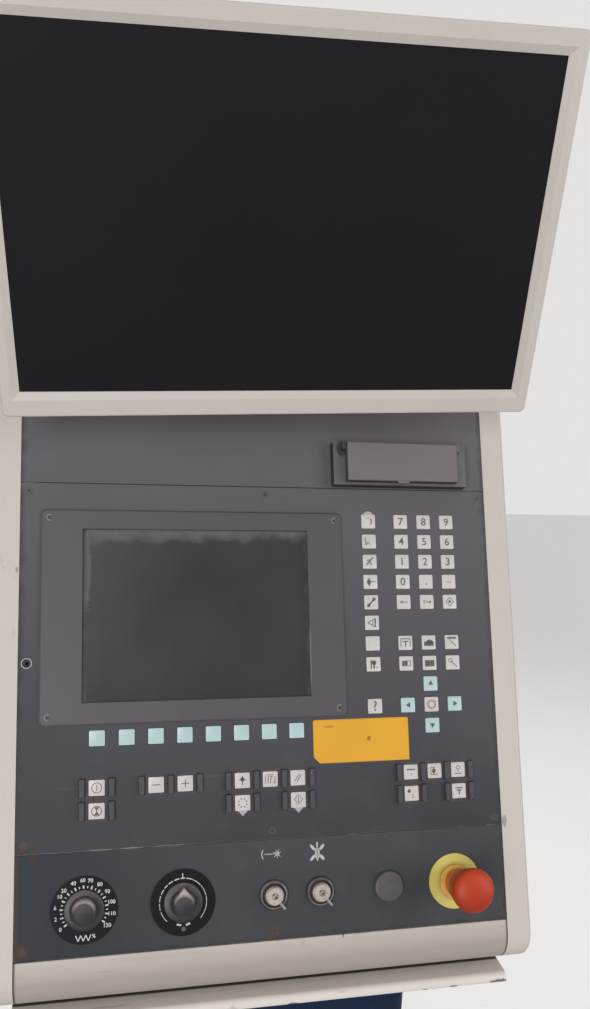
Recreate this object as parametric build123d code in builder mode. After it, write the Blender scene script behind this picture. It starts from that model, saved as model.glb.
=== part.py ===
from build123d import *
import os
from math import sin, cos, tan, radians

# Operator console of a laser cutting machine: a leaning face of three dark plates between two
# cream cheeks, on a blue column bolted to the floor, with a widescreen monitor on a tilting
# bracket over it. Millimetres, +Z up, +X to the operator's right, +Y away from the operator.
# The origin is on the floor, in the middle of the four anchor holes.

os.makedirs("parts", exist_ok=True)

# Face: the dark plates, read from the bottom edge upwards
lean = 20.0
face_foot_y = -150.0
face_foot_z = 960.0
face_width = 483.0
plate_thickness = 3.0
switch_plate_height = 94.0
operator_plate_height = 353.0
drive_plate_height = 108.0
joint_gap = 0.8
side_gap = 0.3

# Housing: cheeks, folded shell and rolled apron
cheek_width = 27.0
cheek_rim = 22.0
cheek_skin = 3.0
cheek_round = 6.0
ledge_width = 18.0
ledge_thickness = 5.0
housing_back_y = 150.0
housing_floor_z = 909.0
roof_margin = 6.0
nose_radius = 28.0
back_radius = 12.0
brow_radius = 4.0
sheet = 2.0
apron_flange_height = 14.0
apron_side_gap = 0.8
apron_back_y = -90.0
brow_lip = 28.0
rail_height = 20.0
rail_from_joint = 11.0
seat_gap = 0.2

# Pedestal and shelf
foot_width = 520.0
foot_depth = 420.0
foot_thickness = 12.0
foot_corner = 30.0
anchor_inset = 30.0
anchor_hole = 14.0
cable_hole = 80.0
column_width = 320.0
column_depth = 180.0
column_wall = 3.0
column_corner = 12.0
flange_border = 30.0
flange_thickness = 8.0
head_plate_width = 250.0
head_plate_depth = 140.0
head_plate_thickness = 10.0
shelf_overhang = 4.0
shelf_half_width = 245.0
shelf_back_y = 138.0
shelf_lip = 10.0
shelf_roll = 6.0
shelf_back_lip = 20.0
shelf_hem = 9.0

# Keys: square caps in cut-outs of the operator plate, switches on one board behind it
key_size = 15.0
key_clearance = 0.3
key_proud = 1.0
key_edge = 0.6
key_lip = 1.2
key_lip_thickness = 0.8
key_skirt = 2.0
key_travel = 1.5
key_stem = 5.0
key_stem_length = 4.5
key_row_pitch = 21.4
key_column_pitch = 25.6
soft_key_pitch = 27.8
top_row_drop = 35.0
machine_row_drop = 46.3
function_column = 109.3
number_column = 144.7
soft_column = -167.9
guard_width = 6.0
guard_length = 18.0
guard_height = 4.0
guard_taper = 10.0
switch_size = 12.0
board_thickness = 1.6
board_depth = 11.4
board_margin = 18.0
board_stud = 5.0

# Screen in the operator plate
screen_left = -182.5
screen_width = 225.0
screen_foot_v = 231.5
screen_height = 169.5
frame_border_left = 39.5
frame_border_right = 37.5
frame_border_head = 19.3
frame_border_foot = 21.1
frame_thickness = 3.0
frame_edge = 1.6
frame_corner = 6.0
window_overlap = 5.5
window_thickness = 2.0
display_border = 12.0
display_depth = 70.0

# Drive bay in the top plate
bay_left = 70.5
bay_width = 147.0
bay_height = 47.0
bay_above_joint = 1.5
bay_proud = 12.0
bay_window_width = 116.0
bay_window_height = 36.0
bay_lip = 4.0
sleeve_width = 142.0
sleeve_height = 42.0
sleeve_wall = 2.0
sleeve_depth = 60.0
drive_depth = 122.0
drive_clearance = 0.3
slot_width = 94.0
slot_height = 3.6
slot_depth = 30.0
flap_width = 121.0
flap_height = 41.0
flap_thickness = 9.6
flap_wall = 2.0
flap_gap = 0.4
flap_pin = 3.0
flap_ear = 4.0
thumb_lip_width = 12.0
thumb_lip = 2.0

# Switch plate: dials, key switches, blanking cap and stop button, all on one row
control_row = 41.5
override_x = -178.7
airflow_x = -87.6
switch_x = (0.0, 46.5)
blank_x = 116.2
stop_x = 186.0
dial_diameter = 61.0
dial_thickness = 1.5
bushing_diameter = 9.0
shaft_diameter = 6.0
running_gap = 0.1
pot_diameter = 24.0
pot_depth = 12.0
knob_diameter = 28.0
knob_top_diameter = 21.0
knob_height = 17.0
knob_gap = 0.4
barrel_rim = 26.0
barrel_diameter = 19.0
barrel_proud = 9.0
barrel_depth = 12.0
plug_diameter = 13.0
plug_proud = 3.0
tang_length = 16.0
tang_thickness = 3.0
tang_height = 7.0
tang_angle = -52.0
cap_diameter = 30.0
cap_height = 5.0
mount_hole = 22.0
stop_disc_diameter = 54.0
stop_disc_thickness = 1.5
collar_base_diameter = 33.0
collar_shoulder = 6.5
collar_guide_diameter = 24.0
collar_top = 24.0
stem_diameter = 16.0
stem_bottom = -6.0
stem_top = 44.0
head_diameter = 42.0
head_foot_diameter = 34.0
head_foot = 31.0
head_top = 61.0
neck_foot = 12.0
neck_foot_diameter = 28.0
neck_gap = 0.4
stop_travel = 5.0
block_width = 28.0
block_depth = 34.0

# Rear door with louvres, hinges and two quarter-turn latches
opening_width = 400.0
opening_height = 460.0
door_overlap = 14.0
door_gap = 1.0
door_depth = 13.0
door_skin = 1.5
louvre_radius = 9.0
louvre_length = 120.0
louvre_pitch = 24.0
louvre_rows = 6
louvre_slot = 6.0
hinge_offset = 6.5
knuckle_radius = 5.0
hinge_pin = 4.0
knuckle_length = 15.0
hinge_spread = 150.0
leaf_width = 16.0
leaf_thickness = 3.0
latch_inset = 12.0
latch_spread = 160.0
latch_head = 20.0
latch_head_height = 4.0
latch_body = 12.0
latch_drive = 8.0
cam_length = 24.0
cam_width = 10.0
cam_thickness = 3.0
cam_gap = 1.5

# Monitor: widescreen panel leaning towards the operator, turned a little in its mount
monitor_lean = 18.2
monitor_roll = 2.9
monitor_foot_y = -54.8
monitor_foot_z = 1480.1
picture_width = 473.8
picture_height = 296.1
bezel_side = 16.6
bezel_foot = 23.0
bezel_head = 20.4
bezel_proud = 4.0
bezel_slope = 7.0
bezel_depth = 14.0
bezel_corner = 6.0
bezel_lip = 0.8
rebate = 3.0
back_wall = 2.5
back_rim_depth = 16.0
back_hump_depth = 22.0
hump_width = 320.0
hump_height = 210.0
vent_count = 14
vent_pitch = 16.0
vesa_pitch = 100.0
bracket_size = 124.0
bracket_thickness = 3.0
pin_behind = 26.0
tilt_pin = 10.0
lug_thickness = 4.0
lug_radius = 12.0
lug_half_gap = 26.0
post_wall = 4.0
post_base_depth = 88.0
post_base_width = 130.0

# Fasteners
screw_head = 8.0
screw_shank = 3.0
frame_screw_head = 6.0
screw_margin = 8.0
frame_screw_inset = 8.5
bolt_clearance = 0.4
foot_bolt = 12.0
head_bolt = 10.0
post_bolt = 8.0

# Planes and heights worked out from the sizes above
face = Plane(
    origin=(0, face_foot_y, face_foot_z),
    x_dir=(1, 0, 0),
    z_dir=(0, -cos(radians(lean)), sin(radians(lean))),
)
half_face = face_width / 2
operator_foot = switch_plate_height
operator_top = operator_foot + operator_plate_height
face_height = operator_top + drive_plate_height
roof_z = face_foot_z + (face_height + roof_margin) * cos(radians(lean))
nose_corner_v = (housing_floor_z - face_foot_z) / cos(radians(lean))
shelf_top_z = housing_floor_z - head_plate_thickness
column_top_z = shelf_top_z - sheet
anchor_x = foot_width / 2 - anchor_inset
anchor_y = foot_depth / 2 - anchor_inset
flange_top_z = foot_thickness + flange_thickness
door_mid_z = (housing_floor_z + roof_z) / 2


def side_point(v, w):
    """Y and Z of a point v up the face and w in front of it."""
    y = face_foot_y + v * sin(radians(lean)) - w * cos(radians(lean))
    z = face_foot_z + v * cos(radians(lean)) + w * sin(radians(lean))
    return (y, z)


def face_point(x, v, w):
    """A point of the model from its place on the face."""
    return (x, *side_point(v, w))


def save(piece, name):
    """Label one finished piece and write it to its own file."""
    piece.part.label = name
    export_step(piece.part, f"parts/{name}.step")


# Places of the keys, the guards beside the machine keys, and the screws
number_columns = [number_column + i * key_column_pitch for i in range(3)]
soft_columns = [soft_column + i * soft_key_pitch for i in range(8)]
key_rows = [operator_top - top_row_drop - i * key_row_pitch for i in range(11)]
soft_row = key_rows[10]
machine_rows = [soft_row - machine_row_drop, soft_row - machine_row_drop - key_row_pitch]

function_keys = [(function_column, key_rows[i]) for i in (0, 1, 2, 3, 4, 5, 6, 7, 9)]
number_keys = [(x, key_rows[i]) for i in range(5) for x in number_columns]
block_keys = [(x, key_rows[i]) for i in (6, 7) for x in number_columns]
centre_key = (number_columns[1], key_rows[9])
soft_keys = [(x, soft_row) for x in soft_columns]
fixed_keys = function_keys + number_keys + block_keys + [centre_key] + soft_keys

moving_keys = {
    "arrow_up_key": (number_columns[1], key_rows[8]),
    "arrow_left_key": (number_columns[0], key_rows[9]),
    "arrow_right_key": (number_columns[2], key_rows[9]),
    "arrow_down_key": (number_columns[1], key_rows[10]),
    "power_on_key": (soft_columns[0], machine_rows[0]),
    "power_off_key": (soft_columns[0], machine_rows[1]),
    "minus_key": (soft_columns[2], machine_rows[0]),
    "plus_key": (soft_columns[3], machine_rows[0]),
    "feed_key": (soft_columns[5], machine_rows[0]),
    "mode_key": (soft_columns[6], machine_rows[0]),
    "reset_key": (soft_columns[7], machine_rows[0]),
    "hold_key": (soft_columns[5], machine_rows[1]),
    "start_key": (soft_columns[7], machine_rows[1]),
    "laser_key": (number_columns[0], machine_rows[0]),
    "shutter_key": (number_columns[1], machine_rows[0]),
    "beam_key": (number_columns[2], machine_rows[0]),
    "gas_key": (number_columns[0], machine_rows[1]),
    "lamp_key": (number_columns[2], machine_rows[1]),
}
key_places = fixed_keys + list(moving_keys.values())

half_soft = soft_key_pitch / 2
half_column = key_column_pitch / 2
guards = [(soft_columns[0] + s * half_soft, v) for s in (-1, 1) for v in machine_rows]
guards += [(soft_columns[i] + half_soft, machine_rows[0]) for i in (1, 2, 3, 4, 5, 6, 7)]
guards += [(soft_columns[i] + s * half_soft, machine_rows[1]) for i in (5, 7) for s in (-1, 1)]
guards += [(number_columns[0] + (i - 0.5) * key_column_pitch, machine_rows[0]) for i in range(4)]
guards += [(number_columns[i] + s * half_column, machine_rows[1]) for i in (0, 2) for s in (-1, 1)]

screw_x = half_face - screw_margin
screw_rows = (operator_top - screw_margin, operator_foot + screw_margin)
operator_screws = [(x, v) for v in screw_rows for x in (-screw_x, 0, screw_x)]
empty_hole = (-screw_x, (operator_foot + operator_top) / 2)
switch_screws = [(x, screw_margin) for x in (-screw_x, 0, screw_x)]
drive_screws = [(x, face_height - screw_margin) for x in (-screw_x, screw_x)]
plate_screws = operator_screws + switch_screws + drive_screws

screen_centre = (screen_left + screen_width / 2, screen_foot_v + screen_height / 2)
frame_width = frame_border_left + screen_width + frame_border_right
frame_height = frame_border_foot + screen_height + frame_border_head
frame_centre = (
    screen_centre[0] + (frame_border_right - frame_border_left) / 2,
    screen_centre[1] + (frame_border_head - frame_border_foot) / 2,
)
frame_screws = [
    (
        frame_centre[0] + i * (frame_width / 2 - frame_screw_inset),
        frame_centre[1] + j * (frame_height / 2 - frame_screw_inset),
    )
    for i in (-1, 1)
    for j in (-1, 1)
]
bay_centre = (bay_left + bay_width / 2, operator_top + bay_above_joint + bay_height / 2)

foot_bolt_x = column_width / 2 + flange_border / 2
foot_bolt_y = column_depth / 2 + flange_border / 2
foot_bolts = [(i * foot_bolt_x, j * foot_bolt_y) for i in (-1, 1) for j in (-1, 1)]
head_bolt_x = head_plate_width / 2 - 20
head_bolt_y = head_plate_depth / 2 - 15
head_bolts = [(i * head_bolt_x, j * head_bolt_y) for i in (-1, 1) for j in (-1, 1)]
post_mid_y = housing_back_y - 8 - post_base_depth / 2
post_bolts = [
    (i * (post_base_width / 2 - 14), post_mid_y + j * (post_base_depth / 2 - 14))
    for i in (-1, 1)
    for j in (-1, 1)
]

# Foot plate: thick steel plate with clipped corners, anchor holes and a cable hole
with BuildPart() as foot_plate:
    with BuildSketch(Plane.XY):
        Rectangle(foot_width, foot_depth)
        chamfer(vertices(), foot_corner)
        with Locations(*[(i * anchor_x, j * anchor_y) for i in (-1, 1) for j in (-1, 1)]):
            Circle(anchor_hole / 2, mode=Mode.SUBTRACT)
        with Locations(*foot_bolts):
            Circle((foot_bolt + bolt_clearance) / 2, mode=Mode.SUBTRACT)
        Circle(cable_hole / 2, mode=Mode.SUBTRACT)
    extrude(amount=foot_thickness)
save(foot_plate, "foot_plate")

# Pedestal column: rectangular sheet-steel tube welded between a base flange and a head flange
with BuildPart() as pedestal_column:
    with BuildSketch(Plane.XY.offset(foot_thickness)):
        Rectangle(column_width + 2 * flange_border, column_depth + 2 * flange_border)
        with Locations(*foot_bolts):
            Circle((foot_bolt + bolt_clearance) / 2, mode=Mode.SUBTRACT)
    extrude(amount=flange_thickness)
    with BuildSketch(Plane.XY.offset(flange_top_z)):
        RectangleRounded(column_width, column_depth, column_corner)
    extrude(amount=column_top_z - flange_top_z)
    with BuildSketch(Plane.XY.offset(foot_thickness)):
        RectangleRounded(
            column_width - 2 * column_wall, column_depth - 2 * column_wall, column_corner - column_wall
        )
    extrude(amount=column_top_z - foot_thickness - flange_thickness, mode=Mode.SUBTRACT)
    with BuildSketch(Plane.XY.offset(column_top_z)):
        Circle(cable_hole / 2)
        with Locations(*head_bolts):
            Circle((head_bolt + bolt_clearance) / 2)
    extrude(amount=-flange_thickness, mode=Mode.SUBTRACT)
save(pedestal_column, "pedestal_column")

# Shelf: one folded sheet with a rolled front edge, clamped on top of the column
with BuildPart() as shelf:
    with BuildSketch(Plane.YZ):
        with BuildLine():
            shelf_front_y = face_foot_y - shelf_overhang
            FilletPolyline(
                (shelf_back_y, shelf_top_z - shelf_back_lip),
                (shelf_back_y, shelf_top_z),
                (shelf_front_y, shelf_top_z),
                (shelf_front_y, shelf_top_z - shelf_lip),
                (shelf_front_y + shelf_hem, shelf_top_z - shelf_lip),
                radius=[shelf_roll, shelf_roll, sheet + 1],
            )
            offset(amount=sheet, side=Side.LEFT)
        make_face()
    extrude(amount=shelf_half_width, both=True)
    with BuildSketch(Plane.XY.offset(shelf_top_z)):
        Circle(cable_hole / 2)
        with Locations(*head_bolts):
            Circle((head_bolt + bolt_clearance) / 2)
    extrude(amount=-sheet, mode=Mode.SUBTRACT)
save(shelf, "shelf")

# Head plate: thick plate between the shelf and the floor of the housing
with BuildPart() as head_plate:
    with BuildSketch(Plane.XY.offset(shelf_top_z)):
        Rectangle(head_plate_width, head_plate_depth)
        Circle(cable_hole / 2, mode=Mode.SUBTRACT)
        with Locations(*head_bolts):
            Circle((head_bolt + bolt_clearance) / 2, mode=Mode.SUBTRACT)
    extrude(amount=head_plate_thickness)
save(head_plate, "head_plate")

# Frame bolts: hexagon bolts at the foot, at the head plate and at the monitor post
with BuildPart() as frame_bolts:
    for places, size, seat, reach in (
        (foot_bolts, foot_bolt, flange_top_z, flange_thickness + foot_thickness - 2),
        (head_bolts, head_bolt, housing_floor_z + sheet, sheet + head_plate_thickness + sheet + 6),
        (post_bolts, post_bolt, roof_z + post_wall, post_wall + sheet + 6),
    ):
        with BuildSketch(Plane.XY.offset(seat)):
            with Locations(*places):
                RegularPolygon(radius=size * 0.8, side_count=6, major_radius=False)
        extrude(amount=size * 0.65)
        with BuildSketch(Plane.XY.offset(seat)):
            with Locations(*places):
                Circle(size / 2)
        extrude(amount=-reach)
save(frame_bolts, "frame_bolts")

# Cheeks: moulded side covers with a thick rim, a thin outer skin and a ledge behind the plates
ledge_foot = 2.0
ledge_top = face_height + roof_margin - brow_lip - joint_gap
with BuildPart() as right_cheek:
    with BuildSketch(Plane.YZ.offset(half_face)):
        with BuildLine():
            housing_corners = [
                side_point(nose_corner_v, 0),
                (housing_back_y, housing_floor_z),
                (housing_back_y, roof_z),
                side_point(face_height + roof_margin, 0),
            ]
            FilletPolyline(
                *housing_corners,
                radius=[nose_radius, back_radius, back_radius, brow_radius + cheek_round],
                close=True,
            )
        make_face()
    extrude(amount=cheek_width)
    fillet(faces().sort_by(Axis.X)[-1].edges(), cheek_round)
    with BuildSketch(Plane.YZ.offset(half_face)):
        with BuildLine():
            Polyline(*housing_corners, close=True)
        make_face()
        offset(amount=-cheek_rim, kind=Kind.INTERSECTION)
        fillet(vertices(), cheek_round)
    extrude(amount=cheek_width - cheek_skin, mode=Mode.SUBTRACT)
    with BuildSketch(face.offset(-plate_thickness)):
        with Locations((half_face, ledge_foot)):
            Rectangle(ledge_width, ledge_top - ledge_foot, align=(Align.MAX, Align.MIN))
    extrude(amount=-ledge_thickness)
    with BuildSketch(face.offset(-plate_thickness)):
        with Locations(*[p for p in operator_screws + switch_screws if p[0] > 0]):
            Circle(screw_shank / 2 + running_gap)
    extrude(amount=-ledge_thickness, mode=Mode.SUBTRACT)
save(right_cheek, "right_cheek")

with BuildPart() as left_cheek:
    add(right_cheek.part)
    mirror(about=Plane.YZ, mode=Mode.REPLACE)
    with BuildSketch(face.offset(-plate_thickness)):
        with Locations(empty_hole):
            Circle(screw_shank / 2 + running_gap)
    extrude(amount=-ledge_thickness, mode=Mode.SUBTRACT)
save(left_cheek, "left_cheek")

# Cross rails: two flat bars between the ledges, behind the joints of the plates
with BuildPart() as cross_rails:
    rail_length = face_width - 2 * (ledge_width + seat_gap)
    rail_rows = (
        operator_top - rail_height / 2 - 1,
        operator_foot + rail_height / 2 - rail_from_joint + screw_margin,
    )
    with BuildSketch(face.offset(-plate_thickness)):
        with Locations(*[(0, v) for v in rail_rows]):
            Rectangle(rail_length, rail_height)
        with Locations(*[p for p in operator_screws if p[0] == 0]):
            Circle(screw_shank / 2 + running_gap, mode=Mode.SUBTRACT)
    extrude(amount=-ledge_thickness)
save(cross_rails, "cross_rails")

# Housing shell: floor, back and roof of folded sheet, with a door opening in the back. The folded
# parts and the flat strips round the opening are welded edge to edge.
with BuildPart() as housing_shell:
    lip_top_v = (roof_z - face_foot_z + plate_thickness * sin(radians(lean))) / cos(radians(lean))
    with BuildSketch(Plane.YZ):
        with BuildLine():
            FilletPolyline(
                (apron_back_y + seat_gap, housing_floor_z),
                (housing_back_y, housing_floor_z),
                (housing_back_y, roof_z),
                side_point(lip_top_v, -plate_thickness),
                side_point(face_height + roof_margin - brow_lip, -plate_thickness),
                radius=[back_radius, back_radius, brow_radius],
            )
            offset(amount=sheet, side=Side.LEFT)
        make_face()
    extrude(amount=half_face, both=True)
    with BuildSketch(Plane.XZ.offset(-housing_back_y)):
        with Locations((0, door_mid_z)):
            Rectangle(opening_width, opening_height)
    extrude(amount=sheet, mode=Mode.SUBTRACT)
    with BuildSketch(Plane.XY.offset(housing_floor_z)):
        Circle(cable_hole / 2)
        with Locations(*head_bolts):
            Circle((head_bolt + bolt_clearance) / 2)
    extrude(amount=sheet, mode=Mode.SUBTRACT)
    with BuildSketch(Plane.XY.offset(roof_z)):
        with Locations(*post_bolts):
            Circle((post_bolt + bolt_clearance) / 2)
    extrude(amount=-sheet, mode=Mode.SUBTRACT)
    with BuildSketch(face.offset(-plate_thickness)):
        with Locations(*drive_screws):
            Circle(screw_shank / 2 + running_gap)
    extrude(amount=-sheet, mode=Mode.SUBTRACT)
    for seam_z in (
        housing_floor_z + back_radius,
        door_mid_z - opening_height / 2,
        door_mid_z + opening_height / 2,
        roof_z - back_radius,
    ):
        split(bisect_by=Plane.XY.offset(seam_z), keep=Keep.BOTH)
save(housing_shell, "housing_shell")

# Front apron: rolled sheet under the switch plate, with a flange that the plate screws to
with BuildPart() as front_apron:
    with BuildSketch(Plane.YZ):
        with BuildLine():
            FilletPolyline(
                side_point(apron_flange_height, -plate_thickness),
                side_point(-joint_gap, -plate_thickness),
                side_point(-joint_gap, 0),
                side_point(nose_corner_v, 0),
                (apron_back_y, housing_floor_z),
                radius=[0, 1.0, nose_radius],
            )
            offset(amount=sheet, side=Side.LEFT, kind=Kind.INTERSECTION)
        make_face()
    extrude(amount=half_face - apron_side_gap, both=True)
    with BuildSketch(face.offset(-plate_thickness)):
        for side in (-1, 1):
            with Locations((side * half_face, -joint_gap + 0.5)):
                Rectangle(2 * (ledge_width + 1), 2 * apron_flange_height, align=(Align.CENTER, Align.MIN))
        with Locations((0, screw_margin)):
            Circle(screw_shank / 2 + running_gap)
    extrude(amount=-2 * sheet, mode=Mode.SUBTRACT)
save(front_apron, "front_apron")

# Drive plate: top plate of the face, with the hole for the drive bay
plate_width = face_width - 2 * side_gap
with BuildPart() as drive_plate:
    with BuildSketch(face):
        with Locations((0, operator_top + joint_gap / 2)):
            Rectangle(plate_width, drive_plate_height - joint_gap / 2, align=(Align.CENTER, Align.MIN))
        with Locations(bay_centre):
            Rectangle(sleeve_width + 2 * seat_gap, sleeve_height + 2 * seat_gap, mode=Mode.SUBTRACT)
    extrude(amount=-plate_thickness)
    with Locations(face):
        with Locations(*drive_screws):
            CounterSinkHole(screw_shank / 2 + running_gap, screw_head / 2 + running_gap, 2 * plate_thickness)
save(drive_plate, "drive_plate")

# Operator plate: screen cut-out, a square cut-out for every key, guard ribs and board studs
board_left = soft_columns[0] - board_margin
board_right = number_columns[2] + board_margin
board_top = key_rows[0] + board_margin - 5
board_foot = machine_rows[1] - board_margin + 1
board_step_x = function_column - board_margin - 3
board_step_v = soft_row + board_margin - 4
studs = [
    (board_left + 5, board_foot + 5),
    (board_left + 5, board_step_v - 5),
    (board_right - 4, board_foot + 5),
    (board_right - 4, board_top - 5),
    (board_step_x + 5, board_top - 5),
    (soft_columns[7] + soft_key_pitch * 1.5, board_foot + 5),
]
with BuildPart() as operator_panel:
    with BuildSketch(face):
        with Locations((0, operator_foot + joint_gap / 2)):
            Rectangle(plate_width, operator_plate_height - joint_gap, align=(Align.CENTER, Align.MIN))
        with Locations(screen_centre):
            Rectangle(screen_width, screen_height, mode=Mode.SUBTRACT)
        with Locations(*key_places):
            cut_out = key_size + 2 * key_clearance
            Rectangle(cut_out, cut_out, mode=Mode.SUBTRACT)
    extrude(amount=-plate_thickness)
    with BuildSketch(face):
        with Locations(*guards):
            Rectangle(guard_width, guard_length)
    extrude(amount=guard_height, taper=guard_taper)
    with BuildSketch(face.offset(-plate_thickness)):
        with Locations(*studs):
            Circle(board_stud / 2)
    extrude(amount=plate_thickness - board_depth)
    with Locations(face):
        with Locations(*operator_screws, empty_hole):
            CounterSinkHole(screw_shank / 2 + running_gap, screw_head / 2 + running_gap, 2 * plate_thickness)
        with Locations(*frame_screws):
            Hole(screw_shank / 2 + running_gap, 2 * plate_thickness)
save(operator_panel, "operator_panel")

# Switch plate: bottom plate of the face
with BuildPart() as switch_panel:
    with BuildSketch(face):
        Rectangle(plate_width, switch_plate_height - joint_gap / 2, align=(Align.CENTER, Align.MIN))
        with Locations((override_x, control_row), (airflow_x, control_row)):
            Circle(bushing_diameter / 2 + seat_gap, mode=Mode.SUBTRACT)
        with Locations(*[(x, control_row) for x in switch_x]):
            Circle(barrel_diameter / 2 + seat_gap, mode=Mode.SUBTRACT)
        with Locations((blank_x, control_row), (stop_x, control_row)):
            Circle(mount_hole / 2 + seat_gap, mode=Mode.SUBTRACT)
    extrude(amount=-plate_thickness)
    with Locations(face):
        with Locations(*switch_screws):
            CounterSinkHole(screw_shank / 2 + running_gap, screw_head / 2 + running_gap, 2 * plate_thickness)
save(switch_panel, "switch_panel")

# Screen frame: raised plate with a bevelled edge round the screen
with BuildPart() as screen_frame:
    with BuildSketch(face):
        with Locations(frame_centre):
            RectangleRounded(frame_width, frame_height, frame_corner)
    extrude(amount=frame_thickness)
    chamfer(faces().sort_by(Axis((0, 0, 0), face.z_dir))[-1].edges(), frame_edge)
    with BuildSketch(face):
        with Locations(screen_centre):
            Rectangle(screen_width, screen_height)
    extrude(amount=frame_thickness, mode=Mode.SUBTRACT)
    with Locations(face.offset(frame_thickness)):
        with Locations(*frame_screws):
            CounterSinkHole(screw_shank / 2 + running_gap, frame_screw_head / 2 + running_gap, 2 * frame_thickness)
save(screen_frame, "screen_frame")

# Screen window: pane behind the cut-out of the operator plate
with BuildPart() as screen_window:
    with BuildSketch(face.offset(-plate_thickness)):
        with Locations(screen_centre):
            Rectangle(screen_width + 2 * window_overlap, screen_height + 2 * window_overlap)
    extrude(amount=-window_thickness)
save(screen_window, "screen_window")

# Display unit: sealed box behind the window
with BuildPart() as display_unit:
    with BuildSketch(face.offset(-plate_thickness - window_thickness)):
        with Locations(screen_centre):
            RectangleRounded(screen_width + 2 * display_border, screen_height + 2 * display_border, 4)
    extrude(amount=-display_depth)
    fillet(faces().sort_by(Axis((0, 0, 0), face.z_dir))[0].edges(), 3)
save(display_unit, "display_unit")

# Key board: one board with a switch under every key. The keys without a joint are one with it.
# The switches under the moving keys have a hole for the stem.
switch_top = plate_thickness + key_skirt + key_travel + 0.5
stem_end = plate_thickness + key_skirt + key_stem_length
with BuildPart() as key_board:
    with BuildSketch(face.offset(-board_depth)):
        with BuildLine():
            Polyline(
                (board_left, board_foot),
                (board_right, board_foot),
                (board_right, board_top),
                (board_step_x, board_top),
                (board_step_x, board_step_v),
                (board_left, board_step_v),
                close=True,
            )
        make_face()
    extrude(amount=-board_thickness)
    with BuildSketch(face.offset(-board_depth)):
        with Locations(*moving_keys.values()):
            Rectangle(switch_size, switch_size)
            Circle(key_stem / 2 + key_clearance, mode=Mode.SUBTRACT)
    extrude(amount=board_depth - switch_top)
    with BuildSketch(face.offset(-board_depth)):
        with Locations(*fixed_keys):
            Rectangle(switch_size, switch_size)
    extrude(amount=board_depth - plate_thickness - key_skirt)
    with BuildSketch(face.offset(-plate_thickness - key_skirt)):
        with Locations(*fixed_keys):
            Rectangle(key_size, key_size)
    extrude(amount=plate_thickness + key_skirt + key_proud)
    key_tops = faces().filter_by_position(Axis(face.origin, face.z_dir), key_proud - 0.01, key_proud + 0.01)
    chamfer(key_tops.edges(), key_edge)
save(key_board, "key_board")

# Moving keys: cap with a lip that holds it behind the plate, and a stem into its switch
for name, place in moving_keys.items():
    with BuildPart() as key:
        with BuildSketch(face.offset(-plate_thickness - key_skirt)):
            with Locations(place):
                Rectangle(key_size, key_size)
        extrude(amount=plate_thickness + key_skirt + key_proud)
        chamfer(faces().sort_by(Axis((0, 0, 0), face.z_dir))[-1].edges(), key_edge)
        with BuildSketch(face.offset(-plate_thickness - key_clearance)):
            with Locations(place):
                Rectangle(key_size + 2 * key_lip, key_size + 2 * key_lip)
        extrude(amount=-key_lip_thickness)
        with BuildSketch(face.offset(-plate_thickness - key_skirt)):
            with Locations(place):
                Circle(key_stem / 2)
        extrude(amount=-key_stem_length)
    save(key, name)

# Drive frame: raised bezel with a sleeve that carries the drive, and ears for the flap's pins
flap_pin_w = bay_proud + flap_gap + flap_pin
flap_top_v = bay_centre[1] + flap_height / 2
flap_pin_v = flap_top_v - flap_pin
ear_x = flap_width / 2 + flap_gap
with BuildPart() as drive_frame:
    with BuildSketch(face):
        with Locations(bay_centre):
            RectangleRounded(bay_width, bay_height, 1.5)
    extrude(amount=bay_proud, taper=1.5)
    with BuildSketch(face):
        with Locations(bay_centre):
            Rectangle(sleeve_width, sleeve_height)
    extrude(amount=-sleeve_depth)
    for side in (-1, 1):
        with BuildSketch(face.offset(bay_proud - 1)):
            with Locations((bay_centre[0] + side * (ear_x + flap_ear / 2), flap_pin_v)):
                Rectangle(flap_ear, 3 * flap_pin)
        extrude(amount=flap_gap + 2 * flap_pin + 2)
    with BuildSketch(face.offset(bay_proud)):
        with Locations(bay_centre):
            Rectangle(bay_window_width, bay_window_height)
    extrude(amount=-bay_lip, mode=Mode.SUBTRACT)
    with BuildSketch(face.offset(bay_proud - bay_lip)):
        with Locations(bay_centre):
            Rectangle(sleeve_width - 2 * sleeve_wall, sleeve_height - 2 * sleeve_wall)
    extrude(amount=-bay_proud - sleeve_depth, mode=Mode.SUBTRACT)
    with Locations(Location(face_point(bay_centre[0], flap_pin_v, flap_pin_w), (0, 90, 0))):
        Cylinder(flap_pin / 2 + running_gap, flap_width + 4 * flap_ear, mode=Mode.SUBTRACT)
save(drive_frame, "drive_frame")

# Disk drive: body in the sleeve, with a disk slot and an eject button in its front
with BuildPart() as disk_drive:
    drive_front_w = bay_proud - bay_lip - drive_clearance
    drive_width = sleeve_width - 2 * sleeve_wall - 2 * drive_clearance
    drive_height = sleeve_height - 2 * sleeve_wall - 2 * drive_clearance
    with BuildSketch(face.offset(drive_front_w)):
        with Locations(bay_centre):
            Rectangle(drive_width, drive_height)
    extrude(amount=-drive_depth)
    with BuildSketch(face.offset(drive_front_w)):
        with Locations((bay_centre[0], bay_centre[1] + drive_height / 6)):
            Rectangle(slot_width, slot_height)
    extrude(amount=-slot_depth, mode=Mode.SUBTRACT)
    with BuildSketch(face.offset(drive_front_w)):
        with Locations((bay_centre[0] + slot_width / 2 - 8, bay_centre[1] - drive_height / 5)):
            Rectangle(12, 6)
    extrude(amount=2)
save(disk_drive, "disk_drive")

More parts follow.
